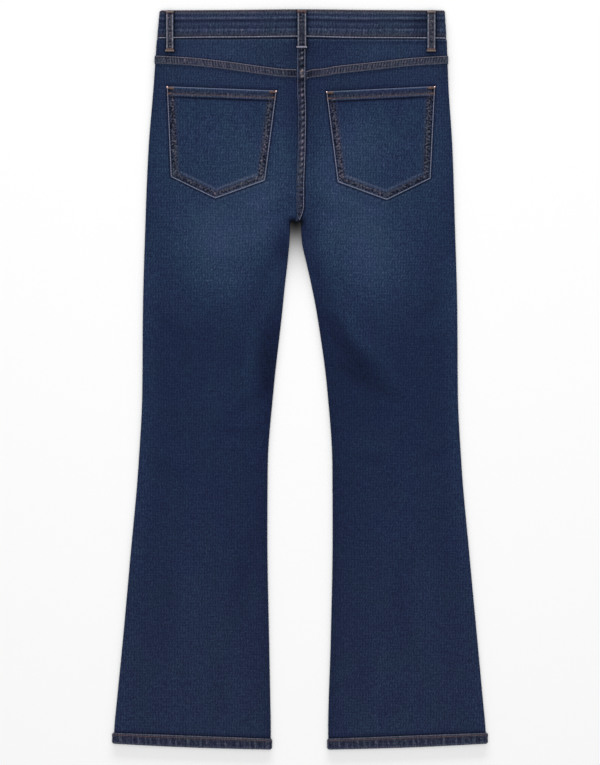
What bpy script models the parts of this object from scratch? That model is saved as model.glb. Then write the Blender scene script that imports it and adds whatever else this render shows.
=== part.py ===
"""Bootcut jeans lying flat on their front, with the back side up.

Every cut piece is its own closed wall of cloth. Run it with: blender --background --python part.py

World: metres, +Z up, +Y towards the waist. The origin is the middle of the footprint, on the surface
that the jeans lie on. Left and right are the wearer's, and the wearer's left is -X.

Sizes below are in millimetres. A place in plan is (across, down): across is X, and down is the way
below the waist edge.
"""

import math
from collections import namedtuple

import bmesh
import bpy

MM = 0.001

# Whole garment
LENGTH = 1060.0
CLOTH = 1.2  # wall of a single layer of denim
SEAM_GAP = 0.3  # clear space between pieces that are sewn together
FACET_GAP = 0.45  # the same where the two pieces' facets differ
FORK_DOWN = 304.0  # where the legs part, below the waist edge
CROWN_REACH = 60.0  # how far in from a fold the cloth takes to settle

# Waistband
BAND_WIDTH = 42.2
BAND_CLOTH = 2.6  # two layers of denim with their seam allowance
BAND_LOW = 1.9  # underside of its front half
BAND_TOP = 7.9  # upper face of its back half
LAP_CLOTH = 1.3  # each end where the two ends lap
LAP_LEFT_END = 18.0
LAP_RIGHT_END = -14.0
LAP_STEP = 0.6  # clear space past the end of the other half of the lap

# Lift over the waist button, which the whole front lies on
LIFT_HEIGHT = 3.6
LIFT_ACROSS = 110.0
LIFT_DOWN = 130.0

# Leg hems
HEM_WIDTH = 15.6
HEM_CLOTH = 2.4  # three layers
HEM_TOP = 5.6
HEM_PROUD = 2.2  # past the leg's folds
HEM_OUTER_RISE = 8.6  # the outer corner is this much nearer to the waist
HEM_SIDE_STEPS = 4

# Belt loops
LOOP_CLOTH = 1.6
LOOP_ARCH = 1.0
LOOP_ROWS = (0.0, 7.0, 15.0, 24.0, 32.0, 38.5, 43.2, 47.0, 51.0)  # ways down, before its own end
LOOP_FALL_FROM = 43.2  # where it drops off the band
LOOP_FALL_TO = 51.0  # where it has come down to the cloth below

# Waist button
BUTTON_DOWN = 21.0
BUTTON_ACROSS = 2.0
BUTTON_RADIUS = 8.5
BUTTON_HEAD = 2.8
BUTTON_RIM = 0.9
BUTTON_SHANK_RADIUS = 3.2
BUTTON_STEPS = 24

# How finely the walls are divided
FOLD_ANGLES = (0.0, 32.0, 62.0, 90.0)
MID_COLUMNS = 8
SEAT_ROWS = 5
LEG_ROWS = 20
LEG_ROW_CROWDING = 1.2  # above 1, the rows crowd towards the fork
ROOF_COLUMNS = 3
YOKE_COLUMNS = 10
YOKE_ROWS = 3
BAND_ROWS = 3
BAND_BACK_STEPS = 14
BAND_FRONT_STEPS = 4

OuterEdge = namedtuple("OuterEdge", "down left right")
OUTER_EDGES = (
    OuterEdge(0, -201.5, 208.0),
    OuterEdge(43, -205.3, 210.3),
    OuterEdge(110, -210.0, 213.0),
    OuterEdge(200, -217.3, 218.7),
    OuterEdge(304, -221.7, 222.1),
    OuterEdge(437, -225.4, 225.7),
    OuterEdge(545, -226.2, 226.4),
    OuterEdge(653, -231.7, 231.7),
    OuterEdge(782, -243.1, 243.1),
    OuterEdge(911, -254.8, 255.1),
    OuterEdge(1060, -267.5, 267.5),
)

InnerEdge = namedtuple("InnerEdge", "down left right")
INNER_EDGES = (
    InnerEdge(304, -13.9, 1.1),
    InnerEdge(333, -15.3, 2.9),
    InnerEdge(360, -17.7, 8.7),
    InnerEdge(394, -21.6, 16.4),
    InnerEdge(437, -26.0, 24.6),
    InnerEdge(545, -38.0, 39.2),
    InnerEdge(653, -46.2, 46.4),
    InnerEdge(750, -46.8, 46.8),
    InnerEdge(911, -44.1, 43.9),
    InnerEdge(1060, -42.3, 41.5),
)

CentreSeam = namedtuple("CentreSeam", "down across")
CENTRE_SEAM = (
    CentreSeam(0, 3.2),
    CentreSeam(150, 3.2),
    CentreSeam(255, 0.7),
    CentreSeam(290, -0.6),
    CentreSeam(304, -4.0),
)

YokeLine = namedtuple("YokeLine", "from_centre down")
YOKE_LINE = (
    YokeLine(0, 85.3),
    YokeLine(50, 81.0),
    YokeLine(105, 73.9),
    YokeLine(160, 68.2),
    YokeLine(215, 64.8),
)

# How the cloth lies: underside of the front, and upper face of the back in its middle and at its folds
Lie = namedtuple("Lie", "down front_low back_mid back_edge")
LIE = (
    Lie(43, 2.6, 7.0, 7.0),
    Lie(90, 1.2, 6.0, 6.2),
    Lie(150, 0.0, 4.8, 5.6),
    Lie(304, 0.0, 4.2, 5.2),
    Lie(480, 0.0, 3.6, 5.0),
    Lie(800, 0.0, 3.4, 5.0),
    Lie(1000, 0.0, 3.6, 5.0),
    Lie(1045, 0.6, 5.0, 5.0),
)

Pocket = namedtuple("Pocket", "outer_top inner_top inner_low tip outer_low")
BACK_POCKETS = {
    "left": Pocket((-190.1, 110.6), (-32.0, 115.8), (-50.5, 245.1), (-120.4, 269.5), (-184.3, 239.4)),
    "right": Pocket((194.9, 110.6), (38.7, 117.0), (55.4, 246.2), (126.2, 271.8), (187.9, 241.3)),
}
POCKET_COLUMNS = 4  # on each side of the tip
POCKET_ROWS = 6
POCKET_CROWN = 0.5

LoopPlace = namedtuple("LoopPlace", "name across width end_down face")
BELT_LOOPS = (
    LoopPlace("loop_centre_back", 2.9, 13.6, 55.0, 1),
    LoopPlace("loop_back_left", -186.0, 11.2, 60.0, 1),
    LoopPlace("loop_back_right", 188.9, 11.8, 60.0, 1),
    LoopPlace("loop_front_left", -98.0, 11.4, 60.0, -1),
    LoopPlace("loop_front_right", 104.0, 11.4, 60.0, -1),
)

DENIM = "#23304a"
DENIM_SEAT = "#2b3a54"
DENIM_BAND = "#2c354c"
DENIM_WORN = "#303749"
OLD_BRASS = "#8a6b45"

SIDES = {"left": -1, "right": 1}


def smooth(table, column, place):
    """The table's column at a place in its first column, on a curve that never overshoots its rows."""
    keys = [row[0] for row in table]
    values = [getattr(row, column) for row in table]
    if place <= keys[0]:
        return values[0]
    if place >= keys[-1]:
        return values[-1]
    spans = [b - a for a, b in zip(keys, keys[1:])]
    slopes = [(b - a) / span for a, b, span in zip(values, values[1:], spans)]

    def slope_at(i):
        before = slopes[max(i - 1, 0)]
        after = slopes[min(i, len(slopes) - 1)]
        return 2 * before * after / (before + after) if before * after > 0 else 0.0

    i = next(n for n in range(len(spans)) if place < keys[n + 1])
    t = (place - keys[i]) / spans[i]
    rise = spans[i] * (slope_at(i) * (1 - t) - slope_at(i + 1) * t) * t * (1 - t)
    return values[i] + (values[i + 1] - values[i]) * t * t * (3 - 2 * t) + rise


def mix(a, b, share):
    return a + (b - a) * share


def ease(start, end, place):
    """0 before start, 1 after end, and a soft step between them."""
    t = min(max((place - start) / (end - start), 0.0), 1.0)
    return t * t * (3 - 2 * t)


def seam_at(down):
    return smooth(CENTRE_SEAM, "across", down)


def outer_at(side, down):
    return smooth(OUTER_EDGES, side, down)


def inner_at(side, down):
    """The leg's inner fold. Above the fork it runs on beside the centre seam."""
    return smooth(INNER_EDGES, side, down) + seam_at(down) - seam_at(FORK_DOWN)


def yoke_at(across):
    return smooth(YOKE_LINE, "down", abs(across - seam_at(BAND_WIDTH)))


def hem_folds(side):
    """Where the hem's outer and inner folds are across."""
    out = SIDES[side]
    return outer_at(side, LENGTH) + out * HEM_PROUD, inner_at(side, LENGTH) - out * HEM_PROUD


def hem_end_at(side, across):
    """How far down the hem's edge is: lowest at the leg's inner fold."""
    outer, inner = hem_folds(side)
    return LENGTH - HEM_OUTER_RISE * (across - inner) / (outer - inner)


def lift_at(across, down):
    """How much the waist button holds the cloth up."""
    out = ((across - BUTTON_ACROSS) / LIFT_ACROSS) ** 2 + ((down - BUTTON_DOWN) / LIFT_DOWN) ** 2
    return LIFT_HEIGHT * max(0.0, 1.0 - out) ** 2


def nearest_fold(across, down):
    """The way to the nearest folded edge, and its direction (across, down)."""
    side = "left" if across < seam_at(down) else "right"
    out = SIDES[side]
    outer_fold = (abs(outer_at(side, down) - across), (out, 0.0))
    beside = out * (across - inner_at(side, max(down, FORK_DOWN)))
    above = FORK_DOWN - down
    if above < 0:
        inner_fold = (beside, (-out, 0.0))
    elif beside <= 0:
        inner_fold = (above, (0.0, 1.0))
    else:
        way = math.hypot(beside, above)
        inner_fold = (way, (-out * beside / way, above / way))
    return min(outer_fold, inner_fold)


def cloth_points(across, down, face):
    """Outer and inner point of a single layer. face is 1 on the back and -1 on the front."""
    way, toward = nearest_fold(across, down)
    low = smooth(LIE, "front_low", down)
    edge = smooth(LIE, "back_edge", down)
    radius = (edge - low) / 2
    middle = (edge + low) / 2
    lean = max(0.0, 1.0 - way / radius)
    rise = math.sqrt(1.0 - lean * lean)
    level = low
    if face > 0:
        settled = 1.0 - math.exp(-((max(way - radius, 0.0) / CROWN_REACH) ** 2))
        level = mix(edge, smooth(LIE, "back_mid", down), settled)
    reach = abs(level - middle) - SEAM_GAP / 2
    height = middle + face * (SEAM_GAP / 2 + reach * rise) + lift_at(across, down)
    outer = (across, down, height)
    inner = (
        across - CLOTH * lean * toward[0],
        down - CLOTH * lean * toward[1],
        height - face * CLOTH * rise,
    )
    return outer, inner


def fold_radius(down):
    return (smooth(LIE, "back_edge", down) - smooth(LIE, "front_low", down)) / 2


def fold_steps(radius):
    """How far in from a fold each of its rows of points lies."""
    return [radius * (1.0 - math.cos(math.radians(angle))) for angle in FOLD_ANGLES]


def srgb(code):
    """A hex colour as the linear numbers that a shader takes."""
    parts = [int(code[i : i + 2], 16) / 255 for i in (1, 3, 5)]
    linear = [c / 12.92 if c <= 0.04045 else ((c + 0.055) / 1.055) ** 2.4 for c in parts]
    return (*linear, 1.0)


def finish(name, colour, roughness=0.9, metallic=0.0):
    material = bpy.data.materials.new(name + "_finish")
    material.use_nodes = True
    shader = material.node_tree.nodes["Principled BSDF"]
    shader.inputs["Base Color"].default_value = srgb(colour)
    shader.inputs["Roughness"].default_value = roughness
    shader.inputs["Metallic"].default_value = metallic
    return material


def to_world(point):
    across, down, height = point
    return (across * MM, (LENGTH / 2 - down) * MM, height * MM)


def add_object(name, mesh_builder, material):
    bmesh.ops.recalc_face_normals(mesh_builder, faces=mesh_builder.faces)
    mesh = bpy.data.meshes.new(name)
    mesh_builder.to_mesh(mesh)
    mesh_builder.free()
    mesh.materials.append(material)
    piece = bpy.data.objects.new(name, mesh)
    bpy.context.scene.collection.objects.link(piece)
    return piece


def closed_wall(name, points, cells, material):
    """A closed wall. points maps each grid place to its (outer, inner) points, and cells are the grid
    squares that hold cloth, each as its four grid places in order."""
    build = bmesh.new()
    outer = {}
    inner = {}
    for place, (outside, inside) in points.items():
        outer[place] = build.verts.new(to_world(outside))
        inner[place] = build.verts.new(to_world(inside))
    rim = []
    for cell in cells:
        build.faces.new([outer[place] for place in cell])
        build.faces.new([inner[place] for place in reversed(cell)])
        for start, end in zip(cell, cell[1:] + cell[:1]):
            if (end, start) in rim:
                rim.remove((end, start))
            else:
                rim.append((start, end))
    for start, end in rim:
        build.faces.new((outer[end], outer[start], inner[start], inner[end]))
    return add_object(name, build, material)


def grid_cells(columns, rows, closed=False):
    """Squares of a plain grid. A closed one joins its last column to its first."""
    last = columns if closed else columns - 1
    return [
        [(c, r), ((c + 1) % columns, r), ((c + 1) % columns, r + 1), (c, r + 1)]
        for c in range(last)
        for r in range(rows - 1)
    ]


def panel_across(side, kind, share, down):
    """Where a panel's column lies across, at a given way down."""
    out = SIDES[side]
    radius = fold_radius(down)
    outer = outer_at(side, down)
    inner = inner_at(side, down)
    if kind == "outer fold":
        return outer - out * radius * share
    if kind == "inner fold":
        return inner + out * radius * share
    if kind == "roof":
        return mix(inner, seam_at(down) + out * SEAM_GAP / 2, share)
    return mix(outer - out * radius, inner + out * radius, share)


def leg_panel(name, side, face, top_line, material):
    """One leg panel with its part of the seat. top_line gives how far down its top edge is."""
    fold_shares = fold_steps(1.0)
    columns = [("outer fold", share) for share in fold_shares]
    columns += [("middle", n / MID_COLUMNS) for n in range(1, MID_COLUMNS)]
    columns += [("inner fold", share) for share in reversed(fold_shares)]
    leg_columns = len(columns)
    columns += [("roof", n / ROOF_COLUMNS) for n in range(1, ROOF_COLUMNS + 1)]

    fork_rows = [FORK_DOWN - step for step in reversed(fold_steps(fold_radius(FORK_DOWN)))]
    rows = [("seat", n / SEAT_ROWS) for n in range(SEAT_ROWS)]
    rows += [("fork", down) for down in fork_rows]
    seat_rows = len(rows)
    rows += [("leg", (n / LEG_ROWS) ** LEG_ROW_CROWDING) for n in range(1, LEG_ROWS + 1)]

    def row_down(row, across):
        kind, share = row
        if kind == "seat":
            return mix(top_line(across), fork_rows[0], share)
        if kind == "fork":
            return share
        hem_top = hem_end_at(side, across) - HEM_WIDTH - SEAM_GAP
        return mix(FORK_DOWN, hem_top, share)

    points = {}
    cells = []
    for c, (kind, share) in enumerate(columns):
        for r, row in enumerate(rows):
            if c >= leg_columns and r >= seat_rows:
                continue
            down = row_down(row, panel_across(side, kind, share, FORK_DOWN))
            down = row_down(row, panel_across(side, kind, share, down))
            points[c, r] = cloth_points(panel_across(side, kind, share, down), down, face)
    for c in range(len(columns) - 1):
        for r in range(len(rows) - 1):
            cell = [(c, r), (c + 1, r), (c + 1, r + 1), (c, r + 1)]
            if all(place in points for place in cell):
                cells.append(cell)
    return closed_wall(name, points, cells, material)


def yoke(name, side, material):
    """The shallow strip between the waistband and the back panel."""
    out = SIDES[side]
    fold_shares = fold_steps(1.0)
    columns = len(fold_shares) + YOKE_COLUMNS
    top = BAND_WIDTH + SEAM_GAP

    def column_across(c, down):
        radius = fold_radius(down)
        outer = outer_at(side, down)
        if c < len(fold_shares):
            return outer - out * radius * fold_shares[c]
        seam = seam_at(down) + out * SEAM_GAP / 2
        return mix(outer - out * radius, seam, (c - len(fold_shares) + 1) / YOKE_COLUMNS)

    points = {}
    for c in range(columns):
        for r in range(YOKE_ROWS + 1):
            bottom = yoke_at(column_across(c, top)) - FACET_GAP
            down = mix(top, bottom, r / YOKE_ROWS)
            points[c, r] = cloth_points(column_across(c, down), down, 1)
    return closed_wall(name, points, grid_cells(columns, YOKE_ROWS + 1), material)


def back_pocket(name, side, material):
    """A five-cornered patch, laid on the back panel's own face."""
    shape = BACK_POCKETS[side]
    columns = 2 * POCKET_COLUMNS + 1
    tip_share = abs(shape.tip[0] - shape.outer_low[0]) / abs(shape.inner_low[0] - shape.outer_low[0])
    points = {}
    for c in range(columns):
        if c <= POCKET_COLUMNS:
            leg = c / POCKET_COLUMNS
            low = [mix(a, b, leg) for a, b in zip(shape.outer_low, shape.tip)]
            share = tip_share * leg
        else:
            leg = (c - POCKET_COLUMNS) / POCKET_COLUMNS
            low = [mix(a, b, leg) for a, b in zip(shape.tip, shape.inner_low)]
            share = mix(tip_share, 1.0, leg)
        top = [mix(a, b, share) for a, b in zip(shape.outer_top, shape.inner_top)]
        for r in range(POCKET_ROWS + 1):
            step = r / POCKET_ROWS
            across, down = (mix(a, b, step) for a, b in zip(top, low))
            crown = POCKET_CROWN * math.sin(math.pi * share) * math.sin(math.pi * step)
            face = cloth_points(across, down, 1)[0][2] + FACET_GAP + crown
            points[c, r] = ((across, down, face + CLOTH), (across, down, face))
    return closed_wall(name, points, grid_cells(columns, POCKET_ROWS + 1), material)


def flat_ring(left, right, low, top, under_left, under_right, back_steps):
    """Stations round a flattened tube, from its underside by way of the left fold, the upper face and
    the right fold to its underside again: (across, height, outward across, outward height).
    under_left and under_right are the places across of the stations underneath."""
    radius = (top - low) / 2
    middle = (top + low) / 2
    angles = [-angle for angle in reversed(FOLD_ANGLES)] + list(FOLD_ANGLES[1:])

    def fold(centre, out, turn):
        lean, rise = math.cos(math.radians(turn)), math.sin(math.radians(turn))
        return (centre + out * radius * lean, middle + radius * rise, out * lean, rise)

    ring = [(across, low, 0.0, -1.0) for across in under_left]
    ring += [fold(left + radius, -1, turn) for turn in angles]
    for n in range(1, back_steps):
        ring.append((mix(left + radius, right - radius, n / back_steps), top, 0.0, 1.0))
    ring += [fold(right - radius, 1, turn) for turn in reversed(angles)]
    ring += [(across, low, 0.0, -1.0) for across in under_right]
    return ring


def leg_hem(name, side, material):
    """The turned-up band round one leg opening."""
    left, right = sorted(hem_folds(side))
    centre = (left + right) / 2
    steps = [n / HEM_SIDE_STEPS for n in range(HEM_SIDE_STEPS)]
    under_left = [mix(centre, left, step) for step in steps]
    under_right = [mix(centre, right, step) for step in reversed(steps[1:])]
    ring = flat_ring(left, right, 0.0, HEM_TOP, under_left, under_right, 2 * HEM_SIDE_STEPS)
    points = {}
    for c, (across, height, out_across, out_height) in enumerate(ring):
        for r, above in enumerate((HEM_WIDTH, 0.0)):
            down = hem_end_at(side, across) - above
            outside = (across, down, height)
            inside = (across - HEM_CLOTH * out_across, down, height - HEM_CLOTH * out_height)
            points[c, r] = (outside, inside)
    return closed_wall(name, points, grid_cells(len(ring), 2, closed=True), material)


def waistband(name, material):
    """One strip right round the waist, whose thinned ends lap at the centre front."""
    thin_left = [LAP_LEFT_END, BUTTON_ACROSS, LAP_RIGHT_END - LAP_STEP]
    thin_right = [LAP_LEFT_END + LAP_STEP, BUTTON_ACROSS, LAP_RIGHT_END]
    lap = len(thin_left)
    shares = [n / BAND_FRONT_STEPS for n in range(BAND_FRONT_STEPS)]
    points = {}
    for r in range(BAND_ROWS + 1):
        down = BAND_WIDTH * r / BAND_ROWS
        left = outer_at("left", down)
        right = outer_at("right", down)
        under_left = [mix(thin_left[-1] - LAP_STEP, left, share) for share in shares]
        under_right = [mix(thin_right[0] + LAP_STEP, right, share) for share in reversed(shares)]
        under_left = thin_left + under_left
        under_right = under_right + thin_right
        ring = flat_ring(left, right, BAND_LOW, BAND_TOP, under_left, under_right, BAND_BACK_STEPS)
        for c, (across, height, out_across, out_height) in enumerate(ring):
            thinned = c < lap or c >= len(ring) - lap
            cloth = LAP_CLOTH if thinned else BAND_CLOTH
            height += lift_at(across, down)
            if c >= len(ring) - lap:
                height += LAP_CLOTH + SEAM_GAP
            outside = (across, down, height)
            points[c, r] = (outside, (across - cloth * out_across, down, height - cloth * out_height))
    return closed_wall(name, points, grid_cells(len(ring), BAND_ROWS + 1), material)


def belt_loop(place, material):
    """A folded strip that arches over the waistband and ends on the cloth below it."""
    face = place.face
    band_face = BAND_TOP if face > 0 else BAND_LOW
    arch = LOOP_ARCH if face > 0 else 0.0
    points = {}
    rows = [*LOOP_ROWS, place.end_down]
    for c in range(3):
        across = place.across + place.width * (c - 1) / 2
        for r, down in enumerate(rows):
            over_band = band_face + lift_at(across, down)
            on_cloth = cloth_points(across, max(down, BAND_WIDTH), face)[0][2]
            base = mix(over_band, on_cloth, ease(LOOP_FALL_FROM, LOOP_FALL_TO, down))
            bulge = arch * math.sin(math.pi * min(down / BAND_WIDTH, 1.0))
            inside = base + face * (SEAM_GAP + bulge)
            points[c, r] = ((across, down, inside + face * LOOP_CLOTH), (across, down, inside))
    return closed_wall(place.name, points, grid_cells(3, len(rows)), material)


def waist_button(name, material):
    """A shank button, face down under the lap of the waistband."""
    seat = BAND_LOW + lift_at(BUTTON_ACROSS, BUTTON_DOWN) - SEAM_GAP
    profile = [
        (0.0, 0.0),
        (BUTTON_RADIUS - BUTTON_RIM, 0.0),
        (BUTTON_RADIUS, BUTTON_RIM),
        (BUTTON_RADIUS, BUTTON_HEAD - BUTTON_RIM),
        (BUTTON_RADIUS - BUTTON_RIM, BUTTON_HEAD),
        (BUTTON_SHANK_RADIUS, BUTTON_HEAD),
        (BUTTON_SHANK_RADIUS, seat),
        (0.0, seat),
    ]
    build = bmesh.new()
    centre_x, centre_y, _ = to_world((BUTTON_ACROSS, BUTTON_DOWN, 0.0))
    verts = [build.verts.new((centre_x + r * MM, centre_y, z * MM)) for r, z in profile]
    edges = [build.edges.new(pair) for pair in zip(verts, verts[1:])]
    bmesh.ops.spin(
        build,
        geom=verts + edges,
        cent=(centre_x, centre_y, 0.0),
        axis=(0.0, 0.0, 1.0),
        angle=math.tau,
        steps=BUTTON_STEPS,
    )
    bmesh.ops.remove_doubles(build, verts=build.verts, dist=1e-6)
    return add_object(name, build, material)


def main():
    for old in list(bpy.data.objects):
        bpy.data.objects.remove(old, do_unlink=True)
    bpy.context.scene.unit_settings.system = "METRIC"

    for side in SIDES:
        leg_panel(
            "back_panel_" + side,
            side,
            1,
            yoke_at,
            finish("back_panel_" + side, DENIM_SEAT),
        )
        leg_panel(
            "front_panel_" + side,
            side,
            -1,
            lambda across: BAND_WIDTH + SEAM_GAP,
            finish("front_panel_" + side, DENIM),
        )
        yoke("back_yoke_" + side, side, finish("back_yoke_" + side, DENIM_SEAT))
        back_pocket("back_pocket_" + side, side, finish("back_pocket_" + side, DENIM_SEAT))
        leg_hem("leg_hem_" + side, side, finish("leg_hem_" + side, DENIM_WORN))
    waistband("waistband", finish("waistband", DENIM_BAND))
    for place in BELT_LOOPS:
        belt_loop(place, finish(place.name, DENIM_WORN))
    waist_button("waist_button", finish("waist_button", OLD_BRASS, roughness=0.4, metallic=1.0))


main()
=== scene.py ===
"""Bootcut jeans lying flat on their front, with the back side up: how they look.

Every cut piece is a thin closed wall of denim on its solid's form, with its creases, ropes and rolled
edges, and every stitch is its own short length of thread.

A place is (across, down, height) in millimetres, as in the part's source: across is X, down is the way
below the waist edge, and height is above the floor. Left and right are the wearer's, and left is -X.
A face is its places, the directions out of it, the marks that its material reads, and its thickness.
"""

import math
from collections import namedtuple
from functools import partial

import bpy
import numpy as np
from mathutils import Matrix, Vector


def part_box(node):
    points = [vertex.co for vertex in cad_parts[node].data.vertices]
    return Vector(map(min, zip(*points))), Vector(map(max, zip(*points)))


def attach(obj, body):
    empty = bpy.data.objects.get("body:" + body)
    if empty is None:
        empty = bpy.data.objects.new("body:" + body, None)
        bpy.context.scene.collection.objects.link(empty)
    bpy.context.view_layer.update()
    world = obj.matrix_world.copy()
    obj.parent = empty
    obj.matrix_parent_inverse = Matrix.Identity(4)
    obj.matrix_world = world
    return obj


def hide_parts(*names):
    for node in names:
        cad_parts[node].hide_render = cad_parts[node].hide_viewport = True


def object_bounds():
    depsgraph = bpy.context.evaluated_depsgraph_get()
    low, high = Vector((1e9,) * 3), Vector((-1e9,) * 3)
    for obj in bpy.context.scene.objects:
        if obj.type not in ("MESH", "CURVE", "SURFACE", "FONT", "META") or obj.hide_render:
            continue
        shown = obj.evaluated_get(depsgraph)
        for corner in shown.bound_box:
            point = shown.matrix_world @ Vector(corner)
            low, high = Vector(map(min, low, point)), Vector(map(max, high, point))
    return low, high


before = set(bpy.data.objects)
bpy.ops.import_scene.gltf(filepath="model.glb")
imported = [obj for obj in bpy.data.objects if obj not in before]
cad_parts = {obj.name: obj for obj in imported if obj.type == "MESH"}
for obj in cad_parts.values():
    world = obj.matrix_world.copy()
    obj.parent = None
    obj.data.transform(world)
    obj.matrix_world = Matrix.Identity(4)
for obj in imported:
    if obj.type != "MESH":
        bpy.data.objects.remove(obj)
CAD_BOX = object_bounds()

MM = 0.001
LENGTH = (CAD_BOX[1].y - CAD_BOX[0].y) / MM
SIDES = {"left": -1, "right": 1}

Span = namedtuple("Span", "left right top bottom high middle width")


def span(node):
    """A node's box as places across, down and in height, with its middle and its width across."""
    low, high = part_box(node)
    left, right = low.x / MM, high.x / MM
    top, bottom = LENGTH / 2 - high.y / MM, LENGTH / 2 - low.y / MM
    return Span(left, right, top, bottom, high.z / MM, (left + right) / 2, right - left)


def table(columns, *rows):
    """Rows of numbers whose columns have names."""
    row_type = namedtuple("row_type", columns)
    return [row_type(*row) for row in rows]


# ---- the garment, as the solids have it

CLOTH = 1.2  # one layer of denim
SEAM_GAP = 0.3
FORK_DOWN = 304.0
CROWN_REACH = 60.0
THREAD_ROOM = 0.5  # the cloth underneath rests on its own stitches

BAND_WIDTH = span("waistband").bottom
BAND_CLOTH = 2.6
BAND_LOW = 1.9
BAND_TOP = 7.9
BAND_ROUND = 860.0  # about the way round the waist
LAP_CLOTH = 1.3
LAP_LEFT_END = 18.0
LAP_RIGHT_END = -14.0
LAP_STEP = 0.6

HEM_WIDTH = 15.6
HEM_CLOTH = 2.4
HEM_TOP = 5.6
HEM_PROUD = 2.2
HEM_OUTER_RISE = 8.6

LOOP_CLOTH = 1.6
LOOP_PRESSED = {1: 1.0, -1: 0.55}  # the front ones are pressed flat by the floor
LOOP_TOP = 1.1
LOOP_ARCH = 1.0
LOOP_FALL = (43.2, 51.0)  # where it comes down off the waistband

BUTTON = span("waist_button")
BUTTON_DOWN = (BUTTON.top + BUTTON.bottom) / 2
BUTTON_RIM = BUTTON.width / 2
LIFT_HEIGHT = 3.6
LIFT_ACROSS = 110.0
LIFT_DOWN = 130.0

OUTER_EDGES = table(
    "down left right",
    (0, -201.5, 208.0), (43, -205.3, 210.3), (110, -210.0, 213.0), (200, -217.3, 218.7),
    (304, -221.7, 222.1), (437, -225.4, 225.7), (545, -226.2, 226.4), (653, -231.7, 231.7),
    (782, -243.1, 243.1), (911, -254.8, 255.1), (990, -262.6, 262.4), (1028, -266.2, 265.9),
    (1060, -267.5, 267.5),
)
INNER_EDGES = table(
    "down left right",
    (304, -13.9, 1.1), (333, -15.3, 2.9), (360, -17.7, 8.7), (394, -21.6, 16.4),
    (437, -26.0, 24.6), (545, -38.0, 39.2), (653, -46.2, 46.4), (750, -46.8, 46.8),
    (911, -44.1, 43.9), (990, -42.6, 41.2), (1028, -41.9, 40.4), (1060, -42.0, 40.9),
)
CENTRE_SEAM = table(
    "down across",
    (0, 1.8), (118, 1.8), (134, 2.6), (150, 2.8), (205, 2.0),
    (255, 0.3), (277, 0.3), (288, 0.0), (296, -1.4), (304, -4.2),
)
YOKE_LINE = table(
    "from_centre left right",
    (0, 85.7, 85.7), (26, 84.9, 84.9), (50, 82.1, 80.9),
    (105, 74.3, 74.8), (160, 68.4, 68.9), (215, 65.2, 65.4),
)
# Underside of the front, and upper face of the back in its middle and at its folds
LIE = table(
    "down front_low back_mid back_edge",
    (43, 2.6, 7.0, 7.0), (90, 1.2, 6.0, 6.2), (150, 0.0, 4.8, 5.6), (304, 0.0, 4.2, 5.2),
    (480, 0.0, 3.6, 5.0), (800, 0.0, 3.4, 5.0), (1000, 0.0, 3.6, 5.0), (1045, 0.6, 5.0, 5.0),
)

Pocket = namedtuple("Pocket", "outer_top inner_top inner_low tip outer_low")
BACK_POCKETS = {
    -1: Pocket((-190.8, 110.1), (-33.4, 116.2), (-50.0, 244.8), (-121.2, 270.5), (-185.1, 239.7)),
    1: Pocket((193.5, 109.8), (37.4, 117.4), (53.9, 247.1), (124.2, 272.7), (187.1, 242.0)),
}

# slim is how far a loop's tacks reach past its edges, and worn how much lighter its middle has washed
BELT_LOOPS = table(
    "spot face slim worn aside",
    ("centre_back", 1, 0.7, 0.0, -0.2),
    ("back_left", 1, 0.55, 0.08, -0.4),
    ("back_right", 1, 0.3, 0.06, -0.9),
    ("front_left", -1, 0.6, 0.0, 0.0),
    ("front_right", -1, 0.6, 0.0, 0.0),
)

# ---- seams and turned edges

YOKE_SEAM_WIDTH = 12.1  # the felled seam below the yoke
SEAT_SEAM_WIDTH = 12.0
SEAT_SEAM_LOW_WIDTH = 11.3
SEAT_SEAM_TOP = 44.5
SEAT_LIFT = 1.15  # how far it climbs over the yoke seams
SEAM_CLOTH = 1.1
MOUTH_HEM = 13.6  # the turned edge at a pocket's mouth
POCKET_TURN = 10.6  # the allowance turned under on its other edges
POCKET_ROWS = (1.0, 8.0)  # its two rows of stitches, in from the edge
EDGE_ROLL = 0.9  # how far in from a turned edge the cloth rounds off
THINNEST = 0.22  # how much of its thickness is left there
ROPE_PITCH = 6.5  # how far apart the ropes beside a seam are
NEAR_REACH = 12.0  # how far from a seam the cloth is measured for the painted shade line beside it
HEM_SAG = 1.3  # a worn hem bows out between the leg's folds
HEM_ROW = HEM_WIDTH - 3.0
BAND_DIP = 0.9  # the waist edge is lower at the sides
HALF_WAIST = 205.0
CORNER = 3.4  # turned bands are rounded where they fold back
SCOOP_REACH = 112.0  # a front pocket's curved mouth
SCOOP_DEPTH = 78.0
SCOOP_BEND = 1.7
SCOOP_ROWS = (1.6, 7.6)
FLY_EDGE = 3.2
FLY_ROWS = (34.0, 40.0)  # in from the fly's edge
FLY_BEND_DOWN = 150.0
FLY_END_DOWN = 190.0
FRONT_SEAM_ROWS = (1.6, 7.4)  # below the fly, to the wearer's left of the seam

# How thick a row's thread is, how long each of its stitches is, and the gap between them
SEWN = {
    "plain": (0.8, 3.1, 0.5),
    "yoke seam's upper": (1.2, 3.6, 0.15),
    "yoke seam's lower": (0.6, 3.6, 0.15),
    "seat seam's right": (0.64, 4.2, 0.05),
    "seat seam's left": (0.26, 4.2, 0.05),
    "pocket's edge": (0.78, 3.6, 0.1),
    "pocket's inner": (0.32, 3.1, 0.5),
    "pocket's mouth": (0.5, 3.6, 0.1),
    "waistband's low": (1.35, 4.6, 0.05),
    "belt loop's": (0.55, 3.1, 0.5),
    "front's": (0.75, 3.1, 0.5),
}
# How far a tack's bar stands proud of the cloth, how long and wide it is, and how thick its thread is
TACKS = {
    "pocket's corner": (0.3, 8.4, 2.5, 0.75),
    "pocket's hem": (0.2, 4.5, 1.8, 0.6),
}

# ---- creases and fading

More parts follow.
